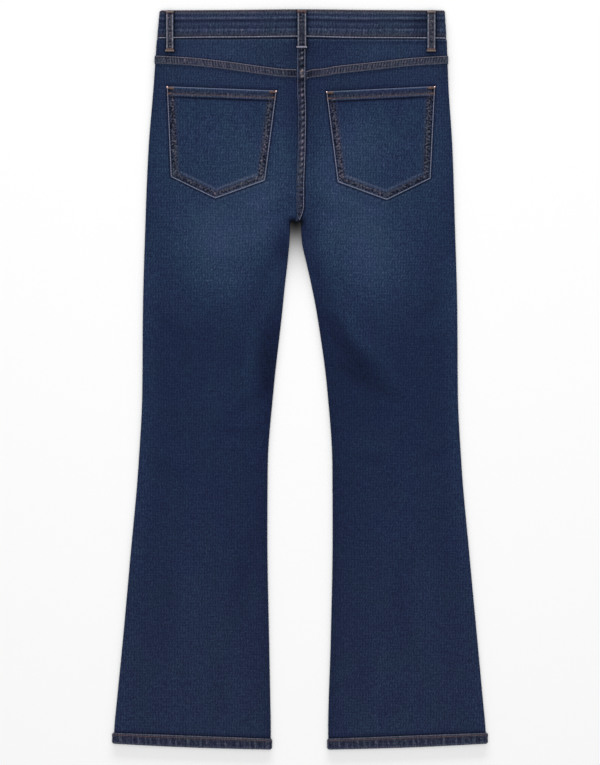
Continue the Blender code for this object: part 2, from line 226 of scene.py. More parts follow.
# By face, a soft trough with a ridge on one side, along a curve that its three places bend
CREASES = {
    1: table(
        "start bend end width depth",
        ((24, 408), (58, 492), (128, 546), 13.0, 1.7), ((46, 500), (92, 545), (150, 556), 10.0, 0.8),
        ((14, 350), (40, 400), (70, 470), -9.0, 0.5), ((4, 309), (24, 356), (36, 430), 10.0, 0.6),
        ((-26, 312), (-52, 380), (-80, 462), 12.0, 0.8), ((-34, 428), (-56, 500), (-44, 572), -13.0, 1.2),
        ((-40, 520), (-66, 574), (-118, 590), 9.0, 0.6), ((-50, 606), (-92, 612), (-136, 596), 8.0, 0.5),
        ((-214, 420), (-190, 462), (-150, 474), 12.0, 0.5), ((216, 398), (196, 430), (158, 446), 11.0, 0.5),
        ((58, 640), (104, 652), (150, 640), 9.0, 0.4), ((-222, 640), (-190, 664), (-150, 668), 12.0, 0.4),
        ((224, 622), (198, 644), (170, 646), 10.0, 0.4), ((-60, 742), (-96, 800), (-84, 900), 15.0, 0.5),
        ((150, 760), (138, 850), (160, 960), 18.0, 0.5), ((-190, 780), (-180, 860), (-204, 960), 16.0, 0.4),
        ((88, 890), (96, 950), (86, 1020), 13.0, 0.4), ((-118, 930), (-110, 980), (-122, 1030), 12.0, 0.4),
        ((-12, 270), (-36, 296), (-80, 306), 9.0, 0.5), ((12, 262), (40, 290), (92, 298), 9.0, 0.4),
        ((-206, 300), (-190, 318), (-160, 326), 9.0, 0.35),
    ),
    -1: table(
        "start bend end width depth",
        ((-12, 296), (-58, 276), (-120, 252), 9.0, 0.8), ((-16, 306), (-70, 306), (-150, 290), 10.0, 0.9),
        ((-20, 330), (-62, 344), (-118, 344), 9.0, 0.7), ((10, 300), (60, 282), (116, 246), 9.0, 0.8),
        ((8, 312), (66, 318), (142, 300), 10.0, 0.9), ((14, 344), (60, 362), (108, 356), 9.0, 0.6),
        ((-206, 560), (-150, 580), (-96, 572), 12.0, 0.7), ((-60, 610), (-110, 626), (-170, 612), 10.0, 0.6),
        ((208, 548), (150, 574), (100, 566), 12.0, 0.7), ((62, 618), (116, 634), (176, 618), 10.0, 0.6),
        ((-150, 760), (-160, 850), (-140, 950), 16.0, 0.5), ((150, 740), (136, 840), (152, 960), 16.0, 0.5),
    ),
}
CREASE_STEPS = 28

# How light the dye has washed, from 0, unworn, to 1, bare weft, and where it is lighter or darker, with
# painted shade at the fork among the darker spots
WASH = table(
    "down tone",
    (43, 0.455), (100, 0.45), (200, 0.46), (300, 0.43), (400, 0.395),
    (500, 0.365), (700, 0.37), (900, 0.39), (1060, 0.41),
)
FADES = {
    1: table(
        # spots (-10.2, 303), (1.4, 304), (-14, 308), (5, 308) and (-24, 344) are painted shade at the fork
        # and below it
        "across down wide long amount",
        (-116, 322, 62, 62, 0.11), (-106, 380, 58, 50, 0.06), (90, 330, 56, 66, 0.10),
        (112, 386, 48, 54, 0.06), (-52, 268, 34, 34, 0.07), (38, 250, 30, 44, 0.06),
        (-24, 210, 18, 50, 0.03), (3, 150, 26, 80, -0.085), (82, 192, 44, 52, 0.07),
        (-84, 196, 50, 52, 0.04), (-112, 60, 44, 16, 0.035), (112, 60, 44, 16, 0.04),
        (20, 60, 46, 16, -0.04), (84, 512, 34, 22, -0.05), (-46, 512, 16, 60, -0.045),
        (-24, 344, 9, 18, -0.10), (20, 318, 14, 16, -0.04), (-100, 364, 44, 15, -0.035),
        (100, 552, 40, 40, -0.02), (-115, 552, 40, 40, 0.02), (-46, 314, 28, 34, 0.05),
        (36, 316, 24, 34, 0.04), (-14, 308, 4, 12, -0.08), (5, 308, 5, 12, -0.10),
        (-10.2, 303, 4.4, 4.0, -0.5), (1.4, 304, 3.2, 4.2, -0.5), (110, 105, 60, 60, -0.022),
        (62, 130, 20, 40, -0.03), (-62, 150, 16, 26, -0.03), (22, 280, 20, 26, -0.03),
        (86, 282, 40, 20, 0.03), (-28, 330, 12, 24, -0.03), (-150, 800, 46, 150, 0.015),
        (150, 760, 46, 150, 0.015),
    ),
    -1: table(
        "across down wide long amount",
        (-120, 420, 56, 110, 0.20), (122, 414, 56, 110, 0.20), (-130, 620, 52, 60, 0.12),
        (132, 616, 52, 60, 0.12), (-90, 200, 60, 60, 0.06), (92, 200, 60, 60, 0.06),
    ),
}
FOLD_SHADE = 0.055  # painted shade where a leg turns over its side seam, with fresher dye there as well
FOLD_SHADE_REACH = 14.0
REVERSE_TONE = 0.9  # the wrong side shows the bare weft
FACE_TONE = 0.42  # bands are folded double, so their inner side is the cloth's face too

# Ridges that wear and ironing leave along the waistband: how light each is, with painted shade in the
# grooves, darkest just below the low row of stitches
BAND_RIDGES = table(
    "down tone",
    (0.0, 0.44), (2.6, 0.50), (4.6, 0.53), (7.0, 0.40), (8.8, 0.42), (10.8, 0.60), (12.6, 0.49),
    (15.1, 0.29), (17.4, 0.40), (20.2, 0.48), (22.6, 0.44), (25.2, 0.37), (28.2, 0.55), (31.6, 0.44),
    (34.6, 0.45), (37.2, 0.34), (39.6, 0.36), (41.2, 0.17), (41.9, 0.50), (43.0, 0.72),
)

# ---- small sums


def smooth(rows, column, places):
    """A table's column at places in its first column, on a curve that never overshoots its rows."""
    keys = np.array([row[0] for row in rows], float)
    values = np.array([getattr(row, column) for row in rows], float)
    spans = np.diff(keys)
    slopes = np.diff(values) / spans
    before = np.concatenate([slopes[:1], slopes])
    after = np.concatenate([slopes, slopes[-1:]])
    same_way = before * after > 0
    bends = np.where(same_way, 2 * before * after / np.where(same_way, before + after, 1.0), 0.0)
    places = np.clip(places, keys[0], keys[-1])
    i = np.clip(np.searchsorted(keys, places, side="right") - 1, 0, len(spans) - 1)
    t = (places - keys[i]) / spans[i]
    rise = spans[i] * (bends[i] * (1 - t) - bends[i + 1] * t) * t * (1 - t)
    return values[i] + (values[i + 1] - values[i]) * t * t * (3 - 2 * t) + rise


def mix(a, b, share):
    return a + (b - a) * share


def ease(start, end, place):
    """0 before start, 1 after end, and a soft step between them."""
    t = np.clip((place - start) / (end - start), 0.0, 1.0)
    return t * t * (3 - 2 * t)


def bump(place, centre, width):
    return np.exp(-(((place - centre) / width) ** 2))


def bumps(place, *rows):
    """A sum of bumps. Each row is how much, where it is highest, and how wide."""
    return sum(amount * bump(place, centre, width) for amount, centre, width in rows)


def ripple(place, pitch, seed):
    """Uneven waves, about one to every pitch, from -1 to 1."""
    turns = math.tau * place / pitch
    waves = np.sin(turns + seed) + 0.7 * np.sin(0.63 * turns + 2.3 * seed + 1.1)
    return (waves + 0.5 * np.sin(1.47 * turns + 0.7 * seed)) / 2.2


def rolled(way, roll):
    """How much of its thickness a turned edge has, at a way in from the edge."""
    return np.maximum(THINNEST, np.sqrt(1 - (1 - np.clip(way / roll, 0, 1)) ** 2))


def lines(length, step, roll=EDGE_ROLL, fine=0.0, fine_step=0.7):
    """Places from 0 to length about a step apart, with closer ones where an edge rolls over and in a
    fine margin inside it."""
    near = roll * np.array([0.0, 0.12, 0.4, 1.0])
    if fine:
        near = np.concatenate([near, np.arange(roll + fine_step, fine, fine_step)])
    count = max(2, round((length - 2 * near[-1]) / step))
    middle = np.linspace(near[-1], length - near[-1], count + 1)
    return np.concatenate([near[:-1], middle, length - near[:-1][::-1]])


def grid(down, across):
    return np.meshgrid(down, across, indexing="ij")


def stack(*values):
    return np.stack(np.broadcast_arrays(*values), axis=-1)


def unit(vectors):
    return vectors / np.linalg.norm(vectors, axis=-1, keepdims=True)


def edges_of(corners):
    """The direction along each edge of a line of corners, and the direction in from it."""
    middle = np.mean(corners, axis=0)
    for start, end in zip(corners, corners[1:]):
        edge = unit(np.subtract(end, start))
        inward = np.array([-edge[1], edge[0]])
        yield edge, inward * np.sign((middle - start) @ inward)


# ---- where the cloth lies


def by_side(rows, out, down):
    return np.where(np.asarray(out) < 0, smooth(rows, "left", down), smooth(rows, "right", down))


def seam_at(down):
    return smooth(CENTRE_SEAM, "across", down)


def side_of(across, down):
    return np.where(across < seam_at(down), -1.0, 1.0)


def outer_at(out, down):
    return by_side(OUTER_EDGES, out, down)


def inner_at(out, down):
    """The leg's inner fold. Above the fork it runs on beside the centre seam."""
    return by_side(INNER_EDGES, out, down) + seam_at(down) - seam_at(FORK_DOWN)


def yoke_at(across):
    from_centre = across - seam_at(BAND_WIDTH)
    return by_side(YOKE_LINE, from_centre, np.abs(from_centre)) + 3.0 * bump(from_centre, 5.5, 7.5)


def hem_folds(out):
    return outer_at(out, LENGTH) + out * HEM_PROUD, inner_at(out, LENGTH) - out * HEM_PROUD


def hem_end_at(out, across):
    """How far down the hem's edge is: lowest at the leg's inner fold."""
    outer, inner = hem_folds(out)
    return LENGTH - HEM_OUTER_RISE * (across - inner) / (outer - inner)


def hem_top_at(out, across):
    return hem_end_at(out, across) - HEM_WIDTH


def lift_at(across, down):
    """How much the waist button holds the cloth up."""
    out = ((across - BUTTON.middle) / LIFT_ACROSS) ** 2 + ((down - BUTTON_DOWN) / LIFT_DOWN) ** 2
    return LIFT_HEIGHT * np.maximum(0.0, 1.0 - out) ** 2


def seat_half_width(down):
    narrow = ease(150.0, 280.0, down) + 8.0 * ease(279.0, FORK_DOWN, down)
    return mix(SEAT_SEAM_WIDTH, SEAT_SEAM_LOW_WIDTH, narrow) / 2


def nearest_fold(across, down):
    """The way to the nearest folded edge, and its direction (across, down)."""
    out = side_of(across, down)
    outer_way = np.abs(outer_at(out, down) - across)
    beside = out * (across - inner_at(out, np.maximum(down, FORK_DOWN)))
    above = FORK_DOWN - down
    corner = np.maximum(np.hypot(beside, above), 1e-9)
    where = [above < 0, beside <= 0]  # in the leg, or on the roof of the fork
    inner_way = np.select(where, [beside, above], corner)
    inner_across = np.select(where, [-out, 0.0], -out * beside / corner)
    inner_down = np.select(where, [0.0, 1.0], above / corner)
    outer_nearer = outer_way <= inner_way
    toward_across = np.where(outer_nearer, out, inner_across)
    toward_down = np.where(outer_nearer, 0.0, inner_down)
    return np.where(outer_nearer, outer_way, inner_way), toward_across, toward_down


def fold_radius(down):
    return (smooth(LIE, "back_edge", down) - smooth(LIE, "front_low", down)) / 2


def lay(across, down, face):
    """A single layer's outer face, its outward direction, and the way to the nearest fold."""
    way, toward_across, toward_down = nearest_fold(across, down)
    level = low = smooth(LIE, "front_low", down)
    edge = smooth(LIE, "back_edge", down)
    radius, middle = (edge - low) / 2, (edge + low) / 2
    lean = np.clip(1.0 - way / radius, 0.0, 1.0)
    rise = np.sqrt(1.0 - lean * lean)
    if face > 0:
        settled = 1.0 - bump(np.maximum(way - radius, 0.0), 0.0, CROWN_REACH)
        level = mix(edge, smooth(LIE, "back_mid", down), settled)
    reach = np.abs(level - middle) - SEAM_GAP / 2
    height = middle + face * (SEAM_GAP / 2 + reach * rise) + lift_at(across, down)
    return stack(across, down, height), stack(lean * toward_across, lean * toward_down, face * rise), way


def crease_relief(face, across, down):
    """How far the creases raise or sink a face, before anything smooths them out."""
    total = np.zeros_like(across)
    t = np.linspace(0.0, 1.0, CREASE_STEPS)
    for crease in CREASES[face]:
        curve = zip(((1 - t) ** 2, 2 * t * (1 - t), t**2), (crease.start, crease.bend, crease.end))
        line = sum(np.outer(share, point) for share, point in curve)
        along = unit(np.gradient(line, axis=0))
        from_line = stack(across, down)[..., None, :] - line
        nearest = np.argmin((from_line**2).sum(-1), axis=-1)
        gap = np.take_along_axis(from_line, nearest[..., None, None], axis=-2)[..., 0, :]
        tangent = along[nearest]
        past_end = np.abs((gap * tangent).sum(-1))
        aside = (tangent[..., 0] * gap[..., 1] - tangent[..., 1] * gap[..., 0]) / crease.width
        taper = np.sin(math.pi * np.clip(t[nearest], 0.0, 1.0)) ** 0.7 * bump(past_end, 0.0, crease.width)
        total += crease.depth * taper * bumps(aside, (0.65, -1.7, 1.1), (-1.0, 0.0, 1.0))
    return total


def wash_tone(face, across, down):
    """The tone of the washed dye, with the painted shade at the fork, before seams and edges."""
    tone = smooth(WASH, "tone", down)
    for fade in FADES[face]:
        spot = bump(across, fade.across, fade.wide) * bump(down, fade.down, fade.long)
        tone += fade.amount * spot
    return tone


def pocket_ways(shape, across, down):
    """The ways in from a pocket's five edges, and the place along each: mouth, inner side, inner low
    edge, outer low edge and outer side."""
    ways, places = [], []
    for start, (edge, inward) in zip(shape, edges_of([*shape, shape[0]])):
        from_start = stack(across - start[0], down - start[1])
        ways.append(from_start @ inward)
        places.append(from_start @ edge)
    return np.array(ways), np.array(places)


def loop_gap(across, down):
    """The way out from the nearest side of a back belt loop."""
    gap = NEAR_REACH
    for place in BELT_LOOPS[:3]:
        at = span("loop_" + place.spot)
        aside = np.abs(across - at.middle) - at.width / 2
        gap = np.minimum(gap, np.maximum(aside, down - at.bottom))
    return gap


def painted_loop_shade(gap):
    """Painted shade: how much darker the cloth is drawn close beside a belt loop."""
    return -0.12 * np.exp(-np.maximum(gap, 0) / 5.0) * (gap < NEAR_REACH)


# how near a seam, pocket or loop the cloth is, which the material turns into a painted shade line
def painted_shade_mark(gap):
    return np.clip(NEAR_REACH - gap, 0, NEAR_REACH + 9)


def back_look(across, down, way):
    """Relief and marks of the yokes and back panels: creases, the ropes along each seam, and painted shade
    by the creases, folds, seams, pockets, loops and hems.
    """
    raw = crease_relief(1, across, down)
    fullness = 1.7 * ease(2.0, 48.0, way) * ease(BAND_WIDTH, BAND_WIDTH + 70, down)
    fullness = fullness * (1 - ease(LENGTH - 80, LENGTH - 20, down))
    free = ease(1.0, 12.0, way) * ease(BAND_WIDTH, BAND_WIDTH + 50, down)
    slack = 0.35 * ripple(across + 0.4 * down, 173.0, 1.3) * ripple(down, 211.0, 0.4)
    relief = np.maximum(fullness + (raw + slack) * free, -0.25 * free)
    # painted shade in the creases' troughs, slightly lighter on their ridges, and painted shade toward the
    # folded edges
    tone = wash_tone(1, across, down) + 0.045 * np.clip(raw, -2, 1)
    tone -= FOLD_SHADE * np.exp(-way / FOLD_SHADE_REACH)

    out = side_of(across, down)
    from_yoke = down - yoke_at(across)
    from_yoke = np.where(from_yoke < 0, -from_yoke + 0.4, from_yoke - YOKE_SEAM_WIDTH + 1.7)
    from_seat = np.abs(across - seam_at(down)) - seat_half_width(down) + (out < 0)
    to_hem = hem_top_at(out, across) - down
    from_band = down - BAND_WIDTH
    # lighter just below the waistband, and on the right a painted shade line a little lower
    left_edge = bumps(from_band, (0.16, 0.4, 1.0), (0.05, 2.4, 2.6))
    right_edge = bumps(from_band, (0.22, 1.4, 0.9), (-0.06, 5.0, 2.2))
    tone += mix(left_edge, right_edge, ease(0, 60, across))
    outer_way = np.abs(outer_at(out, down) - across)
    tone += 0.09 * bump(outer_way, 0.0, 18.0) * ease(300, 400, down) * (1 - 0.4 * ease(680, 900, down))
    for gap, along, seed, reach, size in (
        (from_yoke, across, 0.7, 5.0, 0.16),
        (from_seat, down, 2.1, 5.0, 0.18),
        (to_hem, across, 4.2, 8.0, 0.34),
        (from_band, across, 5.5, 6.0, 0.2),
    ):
        near = bump(np.maximum(gap, 0), 0.0, reach) * ease(0.0, 3.0, way)
        waves = ripple(along, ROPE_PITCH, seed)
        relief += size * near * (waves - 0.4)
        tone += near * 0.03 * waves
    nearest = np.minimum(np.minimum(from_yoke, from_seat), to_hem)
    for sign, shape in BACK_POCKETS.items():
        ways, places = pocket_ways(shape, across, down)
        edge = np.argmin(ways, axis=0)
        along = np.take_along_axis(places, edge[None], axis=0)[0]
        gap = np.where(out == sign, -ways.min(axis=0), NEAR_REACH)
        relief += 0.14 * bump(gap, 0.0, 5.0) * (gap > 0) * ripple(along, 6.0, 3.3)
        # pale under its foot, and painted shade above its mouth and by its sides
        beside = np.select([edge == 0, (edge == 2) | (edge == 3)], [-0.09, 0.12])
        tone += beside * bump(gap, 3.4, 1.6) - 0.04 * bump(gap, 1.4, 1.0)
        nearest = np.minimum(nearest, gap)
    # painted shade lines by the seams, pockets and back belt loops, and painted shade beside the loops, just
    # above the hem and right of the seat seam
    by_loop = loop_gap(across, down)
    near = painted_shade_mark(np.minimum(nearest, by_loop))
    tone += painted_loop_shade(by_loop) - 0.10 * bump(to_hem, 1.6, 2.4)
    tone -= 0.1 * (out > 0) * bump(from_seat, 0.8, 1.0)
    top = 1 - ease(60, 200, down)
    rust = 0.16 * ease(500, 1000, down) + 0.08 * top
    return relief, {"tone": tone - 0.02 * top, "near": near, "rust": rust}


def scoop_mouth(depth):
    """How far in from the side seam the curved mouth of a front pocket is, at a share of its depth."""
    return SCOOP_REACH * np.where(depth < 1, 1 - np.abs(depth) ** SCOOP_BEND, 1 - depth)


def front_look(across, down, way):
    """Relief and marks of the front, which can only lift off the floor."""
    raw = crease_relief(-1, across, down)
    free = ease(1.0, 14.0, way) * ease(BAND_WIDTH, BAND_WIDTH + 40, down)
    relief = -THREAD_ROOM * ease(0.5, 4.0, way) - np.clip(0.35 * np.abs(raw), 0, 0.35) * free
    # painted shade in the creases' troughs, slightly lighter on their ridges, and painted shade toward the
    # folded edges
    tone = wash_tone(-1, across, down) + 0.05 * np.clip(raw, -1, 1)
    tone -= FOLD_SHADE * np.exp(-way / FOLD_SHADE_REACH)
    out = side_of(across, down)
    facing = scoop_mouth(np.clip((down - BAND_WIDTH) / SCOOP_DEPTH, 0.0, 1.4))
    facing -= (outer_at(out, down) - across) * out
    seam = np.abs(across - seam_at(down))
    tone = tone - 0.10 * ease(-0.5, 0.5, facing) + 0.12 * bump(facing, -1.2, 1.2)
    tone -= 0.15 * bump(seam, 0.0, 1.6)
    to_hem = hem_top_at(out, across) - down
    for gap, along, seed in ((to_hem, across, 1.2), (down - BAND_WIDTH, across, 2.5), (seam, down, 0.3)):
        near = bump(np.maximum(gap, 0), 0.0, 7.0)
        tone += near * 0.05 * ripple(along, ROPE_PITCH, seed) - 0.12 * bump(gap, 0.0, 1.8)
    return relief, {"tone": tone}


def raised(points, outward, rise):
    return points + outward * (rise * np.ones(points.shape[:-1]))[..., None]


def panel_face(face, across, down, rise=0.0):
    """The face of the legs and seat on the back (1) or the front (-1), or some rise above it."""
    points, outward, way = lay(across, down, face)
    relief, marks = (back_look if face > 0 else front_look)(across, down, way)
    return raised(points, outward, relief + rise), outward, marks, CLOTH


# ---- making meshes


def to_world(points):
    return (points * (1, -1, 1) + (0, LENGTH / 2, 0)) * MM


def add_mesh(name, verts, faces, material, marks=None):
    """A smooth mesh in world metres. marks are numbers that its material reads, by name."""
    mesh = bpy.data.meshes.new(name)
    mesh.from_pydata(verts.tolist(), [], faces.tolist())
    mesh.polygons.foreach_set("use_smooth", np.ones(len(mesh.polygons), bool))
    for key, values in (marks or {}).items():
        layer = mesh.attributes.new(key, "FLOAT", "POINT")
        layer.data.foreach_set("value", np.asarray(values, np.float32))
    mesh.materials.append(material)
    mesh.update()
    piece = bpy.data.objects.new(name, mesh)
    bpy.context.scene.collection.objects.link(piece)
    return piece


def place_piece(piece, slot, *nodes):
    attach(piece, "root")
    if nodes:
        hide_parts(*nodes)
    return piece


def closed_cloth(name, outer, inner, material, marks, keep=None, closed=False, reverse=REVERSE_TONE):
    """A closed thin wall between two grids of points. marks are grids of numbers that its material reads.
    keep marks the grid places that hold cloth, and a closed one joins its last column to its first."""
    shape = outer.shape[:2]
    keep = np.ones(shape, bool) if keep is None else keep
    count = int(keep.sum())
    number = np.full(shape, -1)
    number[keep] = np.arange(count)
    wide = np.concatenate([number, number[:, :1]], axis=1) if closed else number
    cells = np.stack([wide[:-1, :-1], wide[:-1, 1:], wide[1:, 1:], wide[1:, :-1]], axis=-1).reshape(-1, 4)
    cells = cells[(cells >= 0).all(axis=1)]
    starts = cells.reshape(-1)
    ends = np.roll(cells, -1, axis=1).reshape(-1)
    alone = ~np.isin(starts * count + ends, ends * count + starts)
    starts, ends = starts[alone], ends[alone]
    rim = np.stack([ends, starts, starts + count, ends + count], axis=-1)
    faces = np.concatenate([cells, cells[:, ::-1] + count, rim])
    verts = to_world(np.concatenate([outer[keep], inner[keep]]))
    a, b, d = (verts[cells[:, n]] for n in (0, 1, 3))
    if (np.cross(b - a, d - a) * (a - verts[cells[:, 0] + count])).sum() < 0:
        faces = faces[:, ::-1]
    tones = {}
    for key, values in marks.items():
        outside = np.broadcast_to(values, shape)[keep]
        inside = np.full(count, reverse if key == "tone" else 0.0)
        inside[starts] = outside[starts]
        tones[key] = np.concatenate([outside, inside])
    piece = add_mesh(name, verts, faces, material, tones)
    piece.data.set_sharp_from_angle(angle=math.radians(70))
    quads = verts[cells]
    crossed = np.cross(quads[:, 2] - quads[:, 0], quads[:, 3] - quads[:, 1])
    piece["cut_area"] = float(np.linalg.norm(crossed, axis=1).sum() / 2)
    return piece


def sew(name, part, nodes, face, way=None, roll=EDGE_ROLL, settle=None, **options):
    """A piece of cloth, as a wall inward from its face. way is how far in from a turned edge each place
    is, where both sides of the wall close in on its middle."""
    points, outward, marks, thickness = face
    half = thickness * np.ones(points.shape[:-1]) / 2
    middle = raised(points, outward, -half)
    reach = half if way is None else half * rolled(way, roll)
    sides = [raised(middle, outward, reach), raised(middle, outward, -reach)]
    if settle:
        sides = [settle(side) for side in sides]
    return place_piece(closed_cloth(name, *sides, DENIMS[part], marks, **options), "denim_" + part, *nodes)


def ring_faces(rings, sides):
    """The faces of a closed form from rings of points, one after another, and then its two end points."""
    faces = []
    for ring in range(rings - 1):
        for n in range(sides):
            a, b = ring * sides + n, ring * sides + (n + 1) % sides
            faces += [(a, b, b + sides), (a, b + sides, a + sides)]
    last, end = (rings - 1) * sides, rings * sides
    for n in range(sides):
        following = (n + 1) % sides
        faces += [(end, following, n), (end + 1, last + n, last + following)]
    return np.array(faces)[:, ::-1]


THREAD_SIDES = 6
THREAD_RINGS = table(
    "place thick stand",  # place along a stitch, how thick it is there, and how far it stands up
    (0.0, 0.5, -0.6),
    (0.07, 0.95, 0.25),
    (0.93, 0.95, 0.25),
    (1.0, 0.5, -0.6),
)


def stitches(name, part, rows, material):
    """All the stitches of some rows as one piece. A row is its stitches' start points, end points,
    outward directions and how thick the thread is."""
    starts, ends, ups, thicks = zip(*rows)
    start, end = to_world(np.concatenate(starts)), to_world(np.concatenate(ends))
    radius = np.repeat(thicks, [len(row) for row in starts])[:, None] / 2 * MM
    along = unit(end - start)
    aside = unit(np.cross(np.concatenate(ups) * (1, -1, 1), along))
    up = np.cross(along, aside)
    verts = []
    for ring in THREAD_RINGS:
        centre = mix(start, end, ring.place) + up * radius * ring.stand
        for n in range(THREAD_SIDES):
            turn = math.tau * n / THREAD_SIDES
            verts.append(centre + radius * ring.thick * (math.cos(turn) * aside + math.sin(turn) * up))
    verts.append(start - up * radius * 0.7 - along * radius * 0.35)
    verts.append(end - up * radius * 0.7 + along * radius * 0.35)
    each, count = len(verts), len(start)
    offsets = np.arange(count)[:, None, None] * each
    faces = (ring_faces(len(THREAD_RINGS), THREAD_SIDES)[None] + offsets).reshape(-1, 3)
    shade = np.repeat(np.random.default_rng(count).uniform(-1, 1, count), each)
    piece = add_mesh(name, np.stack(verts, axis=1).reshape(-1, 3), faces, material, {"shade": shade})
    return place_piece(piece, "denim_" + part)


def stitch_row(surface, p, q, kind="plain"):
    """Stitches along a line on a surface, where p and q are the line's places on it."""
    thick, length, gap = SEWN[kind]
    points, outward = surface(*np.broadcast_arrays(np.asarray(p, float), np.asarray(q, float)))[:2]
    way = np.concatenate([[0.0], np.cumsum(np.linalg.norm(np.diff(points, axis=0), axis=1))])
    count = max(1, int(way[-1] / (length + gap)))
    pitch = way[-1] / count
    begin = (np.arange(count) + 0.5 * gap / pitch) * pitch
    finish = begin + pitch - gap

    def at(values, places):
        return np.stack([np.interp(places, way, values[:, n]) for n in range(3)], axis=-1)

    return at(points, begin), at(points, finish), at(outward, (begin + finish) / 2), thick


def bar_tack(surface, p, q, along, proud, length, width, thick):
    """Close zigzag stitches side by side at a place on a surface: a bar of length by width, lying along a
    direction in plan."""
    points, outward = surface(np.array([float(p)]), np.array([float(q)]))[:2]
    centre, outward = points[0] + (0, 0, proud), outward[0]
    run = np.array([along[0], along[1], 0.0]) / math.hypot(*along)
    run -= outward * np.dot(run, outward)
    across = np.cross(outward, run)
    places = np.arange(-length / 2, length / 2 + 0.01, thick * 0.82)
    middle = centre + places[:, None] * run
    half = across * width / 2 + run * thick * 0.35
    return middle - half, middle + half, np.repeat(outward[None], len(places), axis=0), thick


# ---- materials


def srgb(code):
    """A hex colour as the linear numbers that a shader takes."""
    parts = [int(code[i : i + 2], 16) / 255 for i in (1, 3, 5)]
    linear = [c / 12.92 if c <= 0.04045 else ((c + 0.055) / 1.055) ** 2.4 for c in parts]
    return (*linear, 1.0)


def fill(tree, node, inputs):
    """Sets a node's inputs. Each is a number or colour, or a socket to link it to."""
    for key, value in inputs.items():
        if isinstance(value, bpy.types.NodeSocket):
            tree.links.new(value, node.inputs[key])
        else:
            node.inputs[key].default_value = value


def add(tree, kind, inputs=(), out=0, stops=(), **settings):
    """Adds a node with its settings and a ramp's stops, and gives one of its outputs."""
    node = tree.nodes.new("ShaderNode" + kind)
    for key, value in settings.items():
        setattr(node, key, value)
    fill(tree, node, dict(inputs))
    for n, (spot, colour) in enumerate(stops):
        ramp = node.color_ramp.elements
        stop = ramp[0] if n == 0 else ramp[len(ramp) - 1] if n == len(stops) - 1 else ramp.new(spot)
        stop.position = spot
        stop.color = colour
    return node.outputs[out]


def new_material(name):
    """A material, what adds nodes to it, and what fills its shader's inputs."""
    material = bpy.data.materials.new(name)
    material.use_nodes = True
    tree = material.node_tree
    return material, partial(add, tree), partial(fill, tree, tree.nodes["Principled BSDF"])


# Indigo ring-dyed cotton, from unworn by way of washed to the bare weft
INDIGO = (
    (0.00, "#02060f"),
    (0.20, "#060f25"),
    (0.36, "#15203b"),
    (0.46, "#1f2e48"),
    (0.51, "#22344e"),
    (0.62, "#35435e"),
    (0.80, "#5f6a7e"),
    (0.90, "#808898"),
    (1.00, "#ffffff"),
)
WARM = (2.42, 1.34, 0.85, 1.0)  # what rust thread and seam dirt do to the indigo
CLOUDY = ((0.35, (1.02, 0.98, 1.05, 1.0)), (0.65, (0.96, 1.02, 1.0, 1.0)))  # uneven dye

# Real denim has a twill line every 0.8 mm and a slub as thick as a thread, 0.5 mm. Both are drawn about
# four times as coarse, so that they show from where the whole garment is seen. All of these are metres.
BANDS_APART = 0.314  # how far apart a wave texture's bands are at a scale of 1
TWILL_SPACING = 0.0034
TWILL_LEAN = 27.0  # degrees from the warp
THREAD_LINE = 0.0039
WARP_SLUB = (0.0019, 0.0038)  # across and along
WEFT_SLUB = (0.0036, 0.0019)
MOTTLE = 0.034
PATCH = 0.0066
PUCKER = (0.0030, 0.0026)


